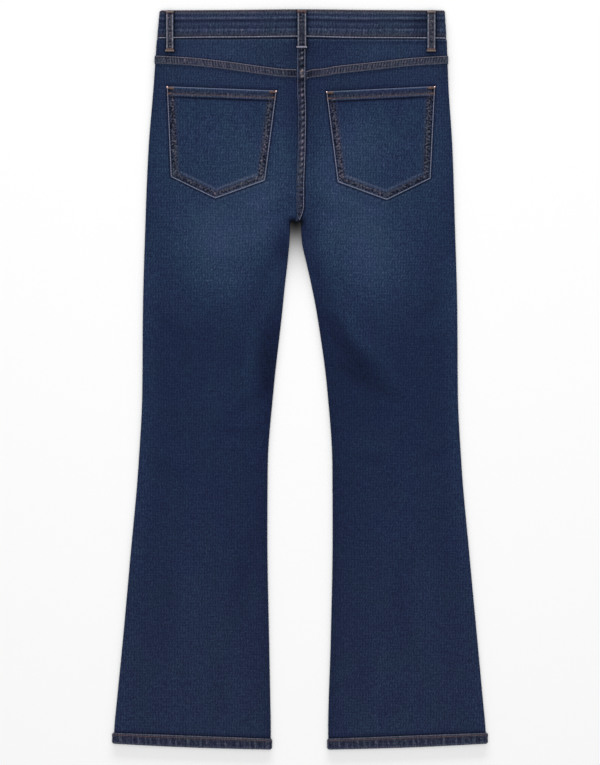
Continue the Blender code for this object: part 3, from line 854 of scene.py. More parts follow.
def denim(name):
    """Woven indigo twill, rope dyed and stone washed: dull, with light flecks of weft between dark warp
    threads, lighter where it rubs, and with painted shade where it folds away and beside seams."""
    material, node, finish = new_material(name)
    place = node("TexCoord", out="Object")
    tone, near, puckered, rust = (
        node("Attribute", out="Fac", attribute_name=mark) for mark in ("tone", "near", "pucker", "rust")
    )

    def slubs(across, along, detail=0.0):
        mapped = node("Mapping", {"Vector": place, "Scale": (1 / across, 1 / along, 1 / across)})
        return node("TexNoise", {"Vector": mapped, "Scale": 1.0, "Detail": detail, "Roughness": 0.5}, "Fac")

    def ribs(spacing, turn, way="X"):
        turned = node("Mapping", {"Vector": place, "Rotation": (0, 0, math.radians(turn))})
        inputs = {"Vector": turned, "Scale": BANDS_APART / spacing, "Distortion": 3.0, "Detail": 0.0}
        inputs["Detail Scale"] = 0.9
        return node("TexWave", inputs, "Fac", wave_type="BANDS", bands_direction=way)

    def ranged(value, low, high, start, end, **settings):
        inputs = {"Value": value, "From Min": low, "From Max": high, "To Min": start, "To Max": end}
        return node("MapRange", inputs, **settings)

    def sum_of(operation, *values):
        return node("Math", dict(enumerate(values)), operation=operation)

    twill_line = ribs(TWILL_SPACING, TWILL_LEAN)
    warp_slub = slubs(*WARP_SLUB)
    weft_slub = slubs(*WEFT_SLUB)
    cloud = slubs(MOTTLE, MOTTLE * 1.4)
    # warp shows in one spot and weft in the next
    spots = ranged(slubs(PATCH, PATCH), 0.36, 0.82, 0.0, 1.0)
    rib = node("Mix", {0: spots, 2: ribs(THREAD_LINE, 0.0), 3: ribs(THREAD_LINE, 0.0, "Y")})
    flecks = 0.0
    for texture, amount in (
        (warp_slub, 0.175),
        (weft_slub, 0.14),
        (twill_line, 0.05),
        (rib, 0.09),
        (cloud, 0.015),
    ):
        flecks = sum_of("MULTIPLY_ADD", sum_of("SUBTRACT", texture, 0.5), amount, flecks)
    # worn edges have lost their flecks
    left = sum_of("MULTIPLY", ranged(tone, 0.48, 0.7, 1.0, 0.2), ranged(tone, 0.36, 0.46, 0.87, 1.3))
    # a painted shade line, with some unworn dye, where cloth dips under the edge of a seam, pocket or belt
    # loop
    shade = ranged(near, NEAR_REACH - 2.9, NEAR_REACH - 0.3, 0.0, -0.2, interpolation_type="SMOOTHSTEP")
    tone = sum_of("MULTIPLY_ADD", flecks, left, sum_of("ADD", tone, shade))
    # seams shrink into small lumps, which rub light between dark dips
    lumps = sum_of("MULTIPLY", sum_of("SUBTRACT", slubs(*PUCKER, 0.5), 0.5), 1.5)
    tone = sum_of("MULTIPLY_ADD", sum_of("MINIMUM", lumps, 0.14), puckered, tone)
    colour = node("ValToRGB", {"Fac": tone}, stops=[(spot, srgb(code)) for spot, code in INDIGO])
    for share, tint in ((rust, WARM), (1.0, node("ValToRGB", {"Fac": cloud}, stops=CLOUDY))):
        colour = node("Mix", {0: share, 6: colour, 7: tint}, 2, data_type="RGBA", blend_type="MULTIPLY")
    weave = sum_of("MULTIPLY_ADD", weft_slub, 0.6, sum_of("MULTIPLY_ADD", warp_slub, 0.6, twill_line))
    finish({
        "Base Color": colour,
        "Normal": node("Bump", {"Height": weave, "Strength": 0.55, "Distance": 0.00022}),
        "Roughness": node("MapRange", {"Value": warp_slub, "To Min": 0.82, "To Max": 0.97}),
        "IOR": 1.5,
        "Specular IOR Level": 0.10,
        "Sheen Weight": 0.06,
        "Sheen Roughness": 0.6,
        "Sheen Tint": srgb("#8fa0bf"),
    })
    return material


def thread(name, colour, worn):
    """Corespun polyester topstitching thread, two plies twisted and dyed: a soft satin gleam, each stitch
    a little more or less worn than the next."""
    material, node, finish = new_material(name)
    shade = node("Attribute", out="Fac", attribute_name="shade")
    place = node("TexCoord", out="Object")
    fuzz = node("TexNoise", {"Vector": place, "Scale": 900.0, "Detail": 2.0}, "Fac")
    share = node("Math", {0: shade, 1: 0.3, 2: fuzz}, operation="MULTIPLY_ADD")
    blend = {0: share, 6: srgb(colour), 7: srgb(worn)}
    finish({
        "Base Color": node("Mix", blend, 2, data_type="RGBA", clamp_factor=True),
        "Normal": node("Bump", {"Height": fuzz, "Strength": 0.5, "Distance": 0.0002}),
        "Roughness": node("MapRange", {"Value": fuzz, "To Min": 0.5, "To Max": 0.75}),
        "IOR": 1.5,
        "Specular IOR Level": 0.3,
    })
    return material


def antique_brass(name):
    """Die-cast brass, tumbled and darkened: warm metal that is bright on its rims and brown in its dips."""
    material, node, finish = new_material(name)
    place = node("TexCoord", out="Object")
    stain = node("TexNoise", {"Vector": place, "Scale": 420.0, "Detail": 4.0}, "Fac")
    stops = [(0.35, srgb("#5c4226")), (0.68, srgb("#b08c58"))]
    finish({
        "Base Color": node("ValToRGB", {"Fac": stain}, stops=stops),
        "Roughness": node("MapRange", {"Value": stain, "To Min": 0.5, "To Max": 0.3}),
        "Metallic": 1.0,
    })
    return material


PAINTED_GAP_SHADE = 0.048  # how far the shade painted on the floor between the legs reaches


def studio_white(name):
    """Matt painted board: plain and nearly white, with a soft shade painted onto it where the legs part,
    standing in for the studio light's shadow there."""
    material, node, finish = new_material(name)
    place = node("TexCoord", out="Object")
    middle = float(inner_at(-1, FORK_DOWN) + inner_at(1, FORK_DOWN)) / 2
    fork = (middle * MM, (LENGTH / 2 - FORK_DOWN) * MM, 0)
    away = node("VectorMath", {0: place, 1: fork}, "Value", operation="DISTANCE")
    spread = node("Math", {0: away, 1: 1 / PAINTED_GAP_SHADE}, operation="MULTIPLY")
    squared = node("Math", {0: spread, 1: 1.8}, operation="POWER")
    shade = node("Math", {0: 1 / math.e, 1: squared}, operation="POWER")
    # painted shade: the floor's colour goes toward near black close to the fork, where the legs part
    colour = node("Mix", {0: shade, 6: srgb("#f4f4f4"), 7: srgb("#101010")}, 2, data_type="RGBA")
    finish({"Base Color": colour, "Roughness": 0.9, "Specular IOR Level": 0.1})
    return material


DENIMS = {part: denim("ring_dyed_denim_" + part) for part in ("back", "front", "waistband", "hem", "loop")}
THREAD_CREAM = thread("topstitch_thread_cream", "#706f7e", "#9192a4")
THREAD_TAUPE = thread("topstitch_thread_taupe", "#514b54", "#6e6873")
THREAD_ECRU = thread("tacking_thread_ecru", "#5a4d49", "#887874")
THREAD_RUST = thread("topstitch_thread_rust", "#4c302c", "#6a5350")
THREAD_TAN = thread("tacking_thread_tan", "#402e29", "#75594c")

# ---- legs and yokes

PANEL_WIDTH = 190.0  # about, to share out rows and columns
SEAT_LENGTH = 225.0
LEG_LENGTH = 735.0
BACK_STEP = 3.2
FRONT_STEP = 5.2
ROOF_COLUMNS = 4
YOKE_COLUMNS = 115
YOKE_ROWS = 20
YOKE_SEAM_COLUMNS = 232
SEAT_SEAM_ROWS = 268
BAND_COLUMNS = 620
HEM_COLUMNS = 380
BUTTON_SIDES = 64
FOLD_STEPS = 8
FOLD_SHARES = 1.0 - np.cos(np.linspace(0.0, math.pi / 2, FOLD_STEPS + 1))

# What a panel's columns are measured from: its outer fold, inner fold, seat seam and the folds' radius
OUTER, OUTER_FLAT, INNER, INNER_FLAT, SEAM = np.array(
    [(1, 0, 0, 0), (1, 0, 0, -1), (0, 1, 0, 0), (0, 1, 0, 1), (0, 0, 1, 0)], float
)[..., None]


def columns(out, shares, down):
    """Places across for a panel's columns, from their shares of what they are measured from."""
    seam = seam_at(down) + out * SEAM_GAP / 2
    edges = (outer_at(out, down), inner_at(out, down), seam, out * fold_radius(down))
    return sum(share * edge for share, edge in zip(shares, edges))


def leg_panel(part, side, face, step):
    """One leg panel with its part of the seat."""
    out = SIDES[side]
    middle = np.linspace(0, 1, round(PANEL_WIDTH / step) + 1)[1:-1]
    roof = np.linspace(0, 1, ROOF_COLUMNS + 1)[1:]
    shares = [mix(OUTER, OUTER_FLAT, FOLD_SHARES), mix(OUTER_FLAT, INNER_FLAT, middle)]
    shares += [mix(INNER, INNER_FLAT, FOLD_SHARES[::-1]), mix(INNER, SEAM, roof)]
    shares = np.concatenate(shares, axis=1)
    seat = np.linspace(0, 1, round(SEAT_LENGTH / step) + 1)[:-1, None]
    fork_rows = (FORK_DOWN - FOLD_SHARES[::-1] * fold_radius(FORK_DOWN))[:, None]
    leg = np.linspace(0, 1, round(LEG_LENGTH / step) + 1)[1:, None]
    upper = len(seat) + len(fork_rows)
    across = columns(out, shares, np.full((upper + len(leg), 1), FORK_DOWN))
    blank = 0 * across
    for _ in range(3):
        top = yoke_at(across[: len(seat)]) if face > 0 else BAND_WIDTH + SEAM_GAP
        hem_top = hem_top_at(out, across[upper:]) - SEAM_GAP
        rows = [mix(top, fork_rows[0], seat), fork_rows, mix(FORK_DOWN, hem_top, leg)]
        down = np.concatenate([row + blank[: len(row)] for row in rows])
        across = columns(out, shares, down)
    keep = np.ones(across.shape, bool)
    keep[upper:, -len(roof) :] = False
    node = part + "_panel_" + side
    return sew(part + "_leg_" + side, part, [node], panel_face(face, across, down), keep=keep)


def yoke(side):
    """The shallow strip between the waistband and the back panel."""
    out = SIDES[side]
    middle = np.linspace(0, 1, YOKE_COLUMNS + 1)[1:]
    shares = [mix(OUTER, OUTER_FLAT, FOLD_SHARES), mix(OUTER_FLAT, SEAM, middle)]
    shares = np.concatenate(shares, axis=1)
    top = BAND_WIDTH + SEAM_GAP
    row_share = np.linspace(0, 1, YOKE_ROWS + 1)[:, None]
    across = columns(out, shares, np.full((len(row_share), 1), top))
    for _ in range(3):
        down = mix(top, yoke_at(across) - SEAM_GAP, row_share)
        across = columns(out, shares, down)
    return sew("yoke_" + side, "back", ["back_yoke_" + side], panel_face(1, across, down))


# ---- felled seams


def seat_lift(down):
    """How far the seat seam climbs over the yoke seams."""
    crossing = float(yoke_at(seam_at(90.0))) + YOKE_SEAM_WIDTH / 2
    return SEAT_LIFT * (1 - ease(6.0, 11.0, np.abs(down - crossing)))


def felled_seam(name, centre_across, centre_down, half, seat, seed, light, pitch, crumple):
    """A seam whose edges are folded into each other: a raised rope-like band along a line on the back,
    down the seat or across below a yoke."""
    spread = lines(2.0, 0.1, 0.14)[:, None] - 1.0
    from_middle = np.abs(spread)
    across = centre_across + spread * half * seat
    down = centre_down + spread * half * (not seat)
    outer_limit = outer_at(np.sign(across), down)
    across = np.where(np.abs(across) > np.abs(outer_limit), outer_limit, across)
    steps = np.hypot(np.diff(centre_across), np.diff(centre_down))
    along = np.concatenate([[0.0], np.cumsum(steps)]) + spread * half * (0.6 * crumple - 0.1)
    rungs = np.sin(math.tau * along / pitch + 1.3 * ripple(along, 9 * pitch, seed))
    ropes = rungs * (0.75 + 0.25 * ripple(along, 53.0, seed)) + 0.3 * ripple(along, 11.0, seed + 2)
    inner_part = 1 - ease(0.62, 0.86, from_middle)
    rise = SEAM_GAP / 2 + SEAM_CLOTH + 0.24 * ropes * inner_part - 0.22 * bump(from_middle, 0.78, 0.09)
    way_in = (1 - from_middle) * half
    ticks = ropes + 0.4 * ripple(along + 3 * spread, 2.6, seed + 4)
    tone = wash_tone(1, across, down)
    worn, spared = 0.09, 0.0
    if seat:  # it is drawn up to one side, by its stronger row
        rise += seat_lift(down)
        ticks = ticks * (0.35 + 1.25 * bump(spread, 0.32, 0.36)) * (1 - 0.5 * ease(190.0, 265.0, down))
        worn = 0.08 + 0.05 * ease(0.0, 0.8, spread)
        spared = 0.12 + 0.35 * ease(0.1, 0.9, -spread)
        low = ease(215.0, 245.0, down)
        tone += 0.13 * bump(spread, 0.1, 0.22) * (1 - low)
        tone -= (0.07 + 0.05 * low) * bump(spread, 0.52, 0.18)
        tone += 0.2 * bump(spread, -0.88, 0.12) * (1 - ease(125.0, 145.0, down))
    tone += (light + (0.08 + 0.12 * crumple) * ticks) * inner_part + worn * bump(way_in, 0.2, 0.9)
    # the crossing of the seams: rubbed where the thread is tied, and painted shade over and round it;
    # painted shade by the belt loop too
    from_seam = across - seam_at(down)
    knot = bump(np.hypot(from_seam, down - 91.0), 0.0, 20.0)
    tied = 0.27 * (1 - ease(3.2, 6.6, np.hypot(from_seam - 1.9, 0.85 * (down - 91.8))))
    around = 0.12 * bump(np.hypot(from_seam, down - 92.0), 12.0, 6.0)
    by_loop = loop_gap(across, down)
    tone += (tied - around - 0.09 * knot) * inner_part + painted_loop_shade(by_loop)
    warm = np.clip(0.95 - 0.25 * rungs + 0.4 * knot - spared, 0, 1) * (0.35 + 0.65 * inner_part)
    pucker = (0.05 + 0.3 * crumple) * inner_part
    marks = {"tone": tone, "rust": warm, "near": painted_shade_mark(by_loop), "pucker": pucker}
    return sew(name, "back", [], (*panel_face(1, across, down, rise)[:2], marks, SEAM_CLOTH), way_in, 0.8)


def yoke_seam(side):
    """The felled seam below one yoke, from the seat seam to the side seam."""
    out = SIDES[side]
    half = YOKE_SEAM_WIDTH / 2
    edge = outer_at(out, 66.0 + half)
    radius = float(fold_radius(70.0))
    flat = np.linspace(seam_at(85.0) + out * 3.0, edge - out * radius, YOKE_SEAM_COLUMNS)
    across = np.concatenate([flat, (edge - out * radius * FOLD_SHARES[::-1])[1:-1]])
    look = {"seed": 1.0 + out, "light": 0.02, "pitch": 4.2, "crumple": 0.5}
    return felled_seam("yoke_seam_" + side, across, yoke_at(across) + half, half, False, **look)


def seat_seam():
    """The felled seam down the middle of the back, from the waistband to the fork."""
    down = np.linspace(SEAT_SEAM_TOP, FORK_DOWN - 1.5, SEAT_SEAM_ROWS)
    look = {"seed": 5.0, "light": 0.02 - 0.06 * ease(230.0, 290.0, down), "pitch": 8.4, "crumple": 1.0}
    return felled_seam("seat_seam", seam_at(down), down, seat_half_width(down), True, **look)


def seam_face(lift, across, down):
    """The top of a felled seam, for its stitches."""
    return panel_face(1, across, down, SEAM_GAP / 2 + SEAM_CLOTH - 0.2 + lift(down))


# ---- back pockets


def pocket_look(shape, across, down):
    """Height of a pocket's face above the panel, and its marks: a light worn edge, the dark puckered
    allowance inside it, and the turned hem at its mouth, with painted shade below its fold."""
    ways, places = pocket_ways(shape, across, down)
    mouth = ways[0]
    edge = ways[1:].min(axis=0)
    nearest = np.argmin(ways[1:], axis=0)
    foot = (nearest == 1) | (nearest == 2)
    along = np.take_along_axis(places[1:], nearest[None], axis=0)[0] + 31.0 * nearest
    in_hem = 1 - ease(MOUTH_HEM - 0.8, MOUTH_HEM + 0.2, mouth)
    in_turn = 1 - ease(POCKET_TURN - 0.8, POCKET_TURN + 0.4, edge)
    turn_end = np.where(foot, 8.4, 9.6)
    between = ease(1.8, 3.0, edge) * (1 - ease(turn_end, turn_end + 2.6, edge)) * (1 - 0.8 * in_hem)
    ropes = ripple(along + 0.5 * edge, 4.6, 2.0) * (0.75 + 0.35 * ripple(along, 19.0, 0.5))
    ropes = (ropes + 0.55 * ripple(along - 1.1 * edge, 3.3, 4.0)) * between
    mouth_ropes = ripple(across - 0.3 * down, 4.0, 0.5) * bump(mouth, 8.5, 4.2)
    crown = 0.5 * ease(0, 60, np.minimum(edge, mouth))
    rise = SEAM_GAP + CLOTH + crown + 0.45 * in_hem + 0.38 * in_turn + 0.22 * ropes + 0.12 * mouth_ropes
    rise -= bumps(edge, *((0.16, row, 0.7) for row in POCKET_ROWS))
    tone = wash_tone(1, across, down) - 0.01 - 0.06 * between + 0.2 * ropes + 0.09 * mouth_ropes
    tone += 0.26 * bump(edge, 0.3, 1.0)
    tone += np.select([nearest == 1, foot], [0.1, -0.05]) * bump(edge, 2.4, 0.8)
    tone -= np.where(foot, 0.11, 0.2) * bump(edge, np.where(foot, 3.9, 2.8), 0.9)
    corner = np.hypot(mouth - 5.0, edge - 3.0)
    tone = tone - 0.14 * bump(corner, 0.0, 5.0) + 0.22 * bump(np.hypot(mouth - 1.0, edge - 1.0), 0.0, 1.7)
    for point in (shape.inner_low, shape.tip, shape.outer_low):
        aside = across - mix(point[0], shape.tip[0], 0.05)
        tone += 0.16 * bump(np.hypot(aside, down - point[1] + 5.5), 0.0, 2.2)
    halo = bump(edge, 12.6, 1.6) * (1 - in_hem)
    tone += 0.13 * foot * halo * (1 + 0.5 * ripple(along, 3.9, 7.0))
    tone += bumps(mouth, (0.32, 0.4, 1.4), (-0.02, 5.0, 3.0), (0.15, 11.9, 1.6))
    # painted shade below the fold of the mouth's hem
    tone -= 0.34 * bump(mouth, 14.9, 1.2) * ease(2.0, 5.0, edge)
    rust = 0.8 * between + bumps(mouth, (0.9, 9.6, 3.0), (0.3, 5.0, 3.0))
    rust += bump(corner, 0.0, 6.0) + 0.3 * halo
    pucker = np.where(foot, 0.7, 1.0) * between + 0.3 * bump(mouth, 7.0, 4.0)
    return rise, {"tone": tone, "rust": np.clip(rust, 0, 1), "pucker": pucker}


def pocket_face(shape, across, down):
    rise, marks = pocket_look(shape, across, down)
    return *panel_face(1, across, down, rise)[:2], marks, rise - SEAM_GAP


def back_pocket(side):
    """A five-cornered patch with its edges turned under, sewn on the back panel."""
    shape = BACK_POCKETS[SIDES[side]]
    outer_top, inner_top, inner_low, tip, outer_low = np.array(shape)
    width, depth = abs(inner_top[0] - outer_top[0]), tip[1] - outer_top[1]
    tip_share = abs(tip[0] - outer_low[0]) / abs(inner_low[0] - outer_low[0])
    share = lines(width, 2.2, EDGE_ROLL, 14.5) / width
    share = np.sort(np.append(share[np.abs(share - tip_share) > 0.003], tip_share))[None, :, None]
    step = lines(depth, 2.2, EDGE_ROLL, 17.0)[:, None, None] / depth
    foot = mix(outer_low, tip, np.clip(share / tip_share, 0, 1))
    foot = mix(foot, inner_low, np.clip((share - tip_share) / (1 - tip_share), 0, 1))
    across, down = np.moveaxis(mix(mix(outer_top, inner_top, share), foot, step), -1, 0)
    way = np.maximum(pocket_ways(shape, across, down)[0].min(axis=0), 0)
    node = "back_pocket_" + side
    return sew("patch_pocket_" + side, "back", [node], pocket_face(shape, across, down), way)


def pocket_line(shape, inset, top):
    """The line of a row of stitches round a pocket's sides and foot, some way in from the edge, from and
    back to a way below its mouth."""
    corners = [shape[n] for n in (0, 4, 3, 2, 1)]
    edges = list(edges_of(corners))
    (first, first_in), (last, last_in) = edges[0], edges[-1]
    line = [corners[0] + inset * first_in + top * first]
    for corner, (_, before), (_, after) in zip(corners[1:], edges, edges[1:]):
        line.append(corner + inset * (before + after) / (1 + before @ after))
    return dense([*line, corners[-1] + inset * last_in - top * last])


def dense(points, step=1.0):
    """Places about a step apart along straight lines between points, as (across, down) rows."""
    parts = []
    for start, end in zip(points, points[1:]):
        count = max(2, int(math.dist(start, end) / step))
        parts.append(np.linspace(start, end, count, endpoint=False))
    return np.concatenate([*parts, [points[-1]]]).T


def pocket_stitches(side):
    """A pocket's two rows, the row and small tacks at its hem's foot, and the tacks at its mouth's ends."""
    out = SIDES[side]
    shape = BACK_POCKETS[out]
    surface = partial(pocket_face, shape)
    edge_row = stitch_row(surface, *pocket_line(shape, POCKET_ROWS[0], 1.0), "pocket's edge")
    inner_row = stitch_row(surface, *pocket_line(shape, POCKET_ROWS[1], MOUTH_HEM), "pocket's inner")
    ends = [np.add(shape.outer_top, (-out * 2.0, 10.3)), np.add(shape.inner_top, (out * 2.0, 10.3))]
    mouth_rows = [stitch_row(surface, *dense(ends), "pocket's mouth")]
    tacks = []
    for corner, other in ((shape.outer_top, shape.inner_top), (shape.inner_top, shape.outer_top)):
        along = unit(np.subtract(other, corner))
        place, low_place = corner + along * 6.4 + (0, 2.4), corner + along * 4.6 + (0, 10.2)
        tacks.append(bar_tack(surface, *place, along, *TACKS["pocket's corner"]))
        mouth_rows.append(bar_tack(surface, *low_place, along, *TACKS["pocket's hem"]))
    edge = stitches("pocket_edge_stitches_" + side, "back", [edge_row], THREAD_CREAM)
    inner = stitches("pocket_inner_stitches_" + side, "back", [inner_row], THREAD_TAUPE)
    tack = stitches("pocket_tacks_" + side, "back", tacks, THREAD_TAN)
    mouth = stitches("pocket_mouth_stitches_" + side, "back", mouth_rows, THREAD_RUST)
    return [edge, inner, mouth, tack]


# ---- waistband and hems


def tube_at(s, left, right, low, top):
    """A flattened tube's outer face and outward direction, at s millimetres round from the middle of its
    underside by way of the left fold. Past either end it runs on along the underside."""
    radius, middle = (top - low) / 2, (top + low) / 2
    flat = right - left - 2 * radius
    half, bend = flat / 2, math.pi * radius
    turn = np.clip((s - half) / radius, 0, math.pi) + np.clip((s - half - bend - flat) / radius, 0, math.pi)
    out_across, out_height = -np.sin(turn), -np.cos(turn)
    across = (left + right) / 2 - np.minimum(s, half) + np.clip(s - half - bend, 0, flat)
    across = across - np.maximum(s - half - 2 * bend - flat, 0) + radius * out_across
    return across, middle + radius * out_height, out_across, out_height


def tube_length(left, right, low, top):
    return 2 * (right - left) + (math.tau - 4) * (top - low) / 2


def rounded(way, height, full):
    """Draws a band's edges together by its folded ends: heights from one edge, of a full width."""
    draw = CORNER * 0.45 * np.clip(1 - way / CORNER, 0, 1) ** 2
    return full / 2 + (height - full / 2) * (1 - 2 * draw / full)


def band_place(share, down):
    """The waistband's face at a share of the way from its left end, right round to its right end."""
    left, right = outer_at(-1, down), outer_at(1, down)
    centre = (left + right) / 2
    end = tube_length(left, right, BAND_LOW, BAND_TOP) + centre - LAP_RIGHT_END
    s = mix(centre - LAP_LEFT_END, end, share)
    across, height, out_across, out_height = tube_at(s, left, right, BAND_LOW, BAND_TOP)
    ending, under = share > 0.5, out_height < -0.999
    lapped, past = ending & under, across - LAP_LEFT_END
    climb = lapped * (LAP_CLOTH + SEAM_GAP) * (1 - ease(0.0, LAP_STEP, past))
    start_thin = ease(-2 * LAP_STEP, -LAP_STEP, across - LAP_RIGHT_END)
    thin = np.where(under & ~ending, start_thin, lapped * (1 - ease(LAP_STEP, 2 * LAP_STEP, past)))
    points = stack(across, down, height + lift_at(across, down) + climb)
    return points, stack(out_across, 0.0, out_height), mix(BAND_CLOTH, LAP_CLOTH, thin), s


def band_face(share, down):
    """The waistband's face with its ridges, the ropes above its lower row of stitches, their wear, and
    painted shade in its grooves and beside the belt loops.
    """
    points, outward, thickness, s = band_place(share, down)
    across, down, _ = np.moveaxis(points, -1, 0)
    up = outward[..., 2] > 0
    wander = 0.9 * ripple(across, 150.0, 0.8) * bump(down, 17.0, 11.0)
    lower = 0.7 * ease(0, 60, across) * ease(30, 36, down) * up
    ridge = smooth(BAND_RIDGES, "tone", down + wander - 0.8 * ease(0, 9, down) - lower) - 0.42
    ropes = ripple(s, 4.6, 1.7) + 0.5 * ripple(s, 11.0, 0.3)
    low_zone = bump(down, 31.0, 5.5)
    relief = 1.4 * ridge + 0.2 * low_zone * ropes - 0.35
    tone = 0.43 + ridge * (1.0 + 0.35 * ripple(s, 83.0, 2.0))
    tone += (0.11 * low_zone + 0.05 * bump(down, 11.0, 3.0)) * ropes
    # painted shade beside the back belt loops, and darker on the band's top about 171 mm right of the middle
    by_loop = np.where(up, loop_gap(across, down), NEAR_REACH)
    tone += painted_loop_shade(by_loop) - 0.09 * bump(across, 171.0, 13.0) * up
    rust = np.clip(0.3 + bumps(down, (0.75, 36.4, 2.8), (0.75, 1.4, 3.6)), 0, 1)
    marks = {"tone": tone, "rust": rust, "near": painted_shade_mark(by_loop), "pucker": 0.16 * low_zone + 0.06}
    return raised(points, outward, relief), outward, marks, thickness


def band_settle(points):
    """Lets the waist edge dip toward the sides, and rounds its corners."""
    across, down, height = np.moveaxis(points, -1, 0)
    side_way = np.minimum(across - outer_at(-1, down), outer_at(1, down) - across)
    down = np.maximum(rounded(side_way, down, BAND_WIDTH), down)
    dip = BAND_DIP * (across / HALF_WAIST) ** 2 * (1 - down / BAND_WIDTH)
    return stack(across, down + dip, height)


def waistband():
    """One strip right round the waist, folded double, whose ends lap at the centre front."""
    down, share = grid(lines(BAND_WIDTH, 0.9), np.linspace(0, 1, BAND_COLUMNS))
    end_way = np.minimum(share, 1 - share) * BAND_ROUND
    way = np.minimum(np.minimum(down, BAND_WIDTH - down), end_way)
    options = {"settle": band_settle, "reverse": FACE_TONE}
    return sew("waist_strip", "waistband", ["waistband"], band_face(share, down), way, 1.1, **options)


def band_stitches():
    """The heavy row above the waistband's seam, and the fine one along the waist edge."""

    def surface(share, down):
        points, outward, *_ = band_face(share, down)
        return band_settle(points), outward

    share = np.linspace(0.006, 0.994, 900)
    across = band_place(share, BAND_WIDTH)[0][:, 0]
    low_line = 38.75 + 0.3 * ripple(share * BAND_ROUND, 170.0, 1.0) + 0.6 * ease(0, 60, across)
    low_line += 1.5 * np.abs(across / HALF_WAIST) ** 1.5
    low_row = stitch_row(surface, share, low_line, "waistband's low")
    return [
        stitches("waistband_low_stitches", "waistband", [low_row], THREAD_CREAM),
        stitches("waistband_top_stitches", "waistband", [stitch_row(surface, share, 1.4)], THREAD_RUST),
    ]


def hem_face(out, share, above):
    """A leg hem's face at a share of the way round and a way above its lower edge: ropes that slant up
    it, where the turned cloth has crept, and their wear."""
    left, right = sorted(float(fold) for fold in hem_folds(out))
    s = share * tube_length(left, right, THREAD_ROOM, HEM_TOP)
    across, height, out_across, out_height = tube_at(s, left, right, THREAD_ROOM, HEM_TOP)
    sag = HEM_SAG * np.sin(math.pi * np.clip((across - left) / (right - left), 0, 1))
    height_share = rounded(np.minimum(across - left, right - across), above, HEM_WIDTH) / HEM_WIDTH
    down = hem_end_at(out, across) + sag - height_share * (HEM_WIDTH + sag)
    creep = s + 0.12 * above
    bars, fine = ripple(creep, 8.8, 3.0 + out), ripple(creep, 3.9, 1.0 + out)
    in_band = bump(above, 6.5, 5.0)
    relief = 0.34 * in_band * (bars - 1) - 0.22 * bump(above, HEM_WIDTH - 3.2, 0.8)
    tone = 0.36 + 0.05 * fine + (0.2 * np.clip(bars + 0.1, 0, 0.75) + 0.04 * bars) * in_band
    tone += bumps(above, (0.22, HEM_WIDTH - 0.4, 1.4), (0.20, 0.8, 1.8), (0.04, HEM_WIDTH - 3.4, 2.2))
    rust = np.clip(0.75 + 0.25 * bump(above, HEM_WIDTH - 3.4, 2.6), 0, 1)
    outward = stack(out_across, 0 * down, out_height)
    marks = {"tone": tone, "rust": rust, "pucker": 0.25 * in_band}
    return raised(stack(across, down, height), outward, relief), outward, marks, HEM_CLOTH


def leg_hem(side):
    """The turned-up band round one leg opening, three layers thick."""
    above, share = grid(lines(HEM_WIDTH, 0.8), np.linspace(0, 1, HEM_COLUMNS, endpoint=False))
    way = np.minimum(above, HEM_WIDTH - above)
    face = hem_face(SIDES[side], share, above)
    return sew("hem_" + side, "hem", ["leg_hem_" + side], face, way, 1.2, closed=True, reverse=FACE_TONE)


# ---- belt loops and button


def loop_face(place, aside, down):
    """A belt loop's face, over the waistband and down onto the cloth below it, with its worn, light edges
    and its dark middle."""
    at, face = span("loop_" + place.spot), place.face
    across = at.middle + place.aside + aside
    over_band = (BAND_TOP + 0.35 if face > 0 else BAND_LOW) + lift_at(across, down)
    below = panel_face(face, across, np.maximum(down, BAND_WIDTH))[0][..., 2]
    on_seam = place.spot == "centre_back"
    on_cloth = below + on_seam * SEAT_LIFT * bump(aside, 0, 9)
    arch = LOOP_ARCH * np.sin(math.pi * np.clip(down / BAND_WIDTH, 0, 1)) * (face > 0)
    base = mix(over_band, on_cloth, ease(*LOOP_FALL, down)) + face * (SEAM_GAP / 2 + arch)

    half = at.width / 2 - place.slim
    edge = half - np.abs(aside)
    ropes = ripple(down, 5.2, half) * bump(aside, 0, half * 0.6)
    rise = 0.3 * bump(aside, 0, half * 0.45) - 0.2 * bump(edge, 2.6, 0.6) + 0.12 * ropes
    tone = 0.42 + place.worn + 0.14 * ropes - 0.11 * bump(edge, 3.1, 0.9)
    edges = 0.85 + 0.07 * ripple(down + 5 * np.sign(aside), 9.0, half)
    dip = bump(down, 6.2, 1.0) + bump(down, at.bottom - 3.4, 1.2)
    tone = mix(tone, edges, bump(edge, 0.9, 1.15)) - 0.2 * dip
    rust = 0.1 + 0.9 * np.maximum(ease(1.2, 2.6, edge), dip)
    marks = {"tone": tone, "rust": np.clip(rust, 0, 1), "pucker": 0.5 * rust}
    thickness = (LOOP_CLOTH + rise) * LOOP_PRESSED[face]
    return stack(across, down, base + face * thickness), stack(0 * across, 0.0, face), marks, thickness


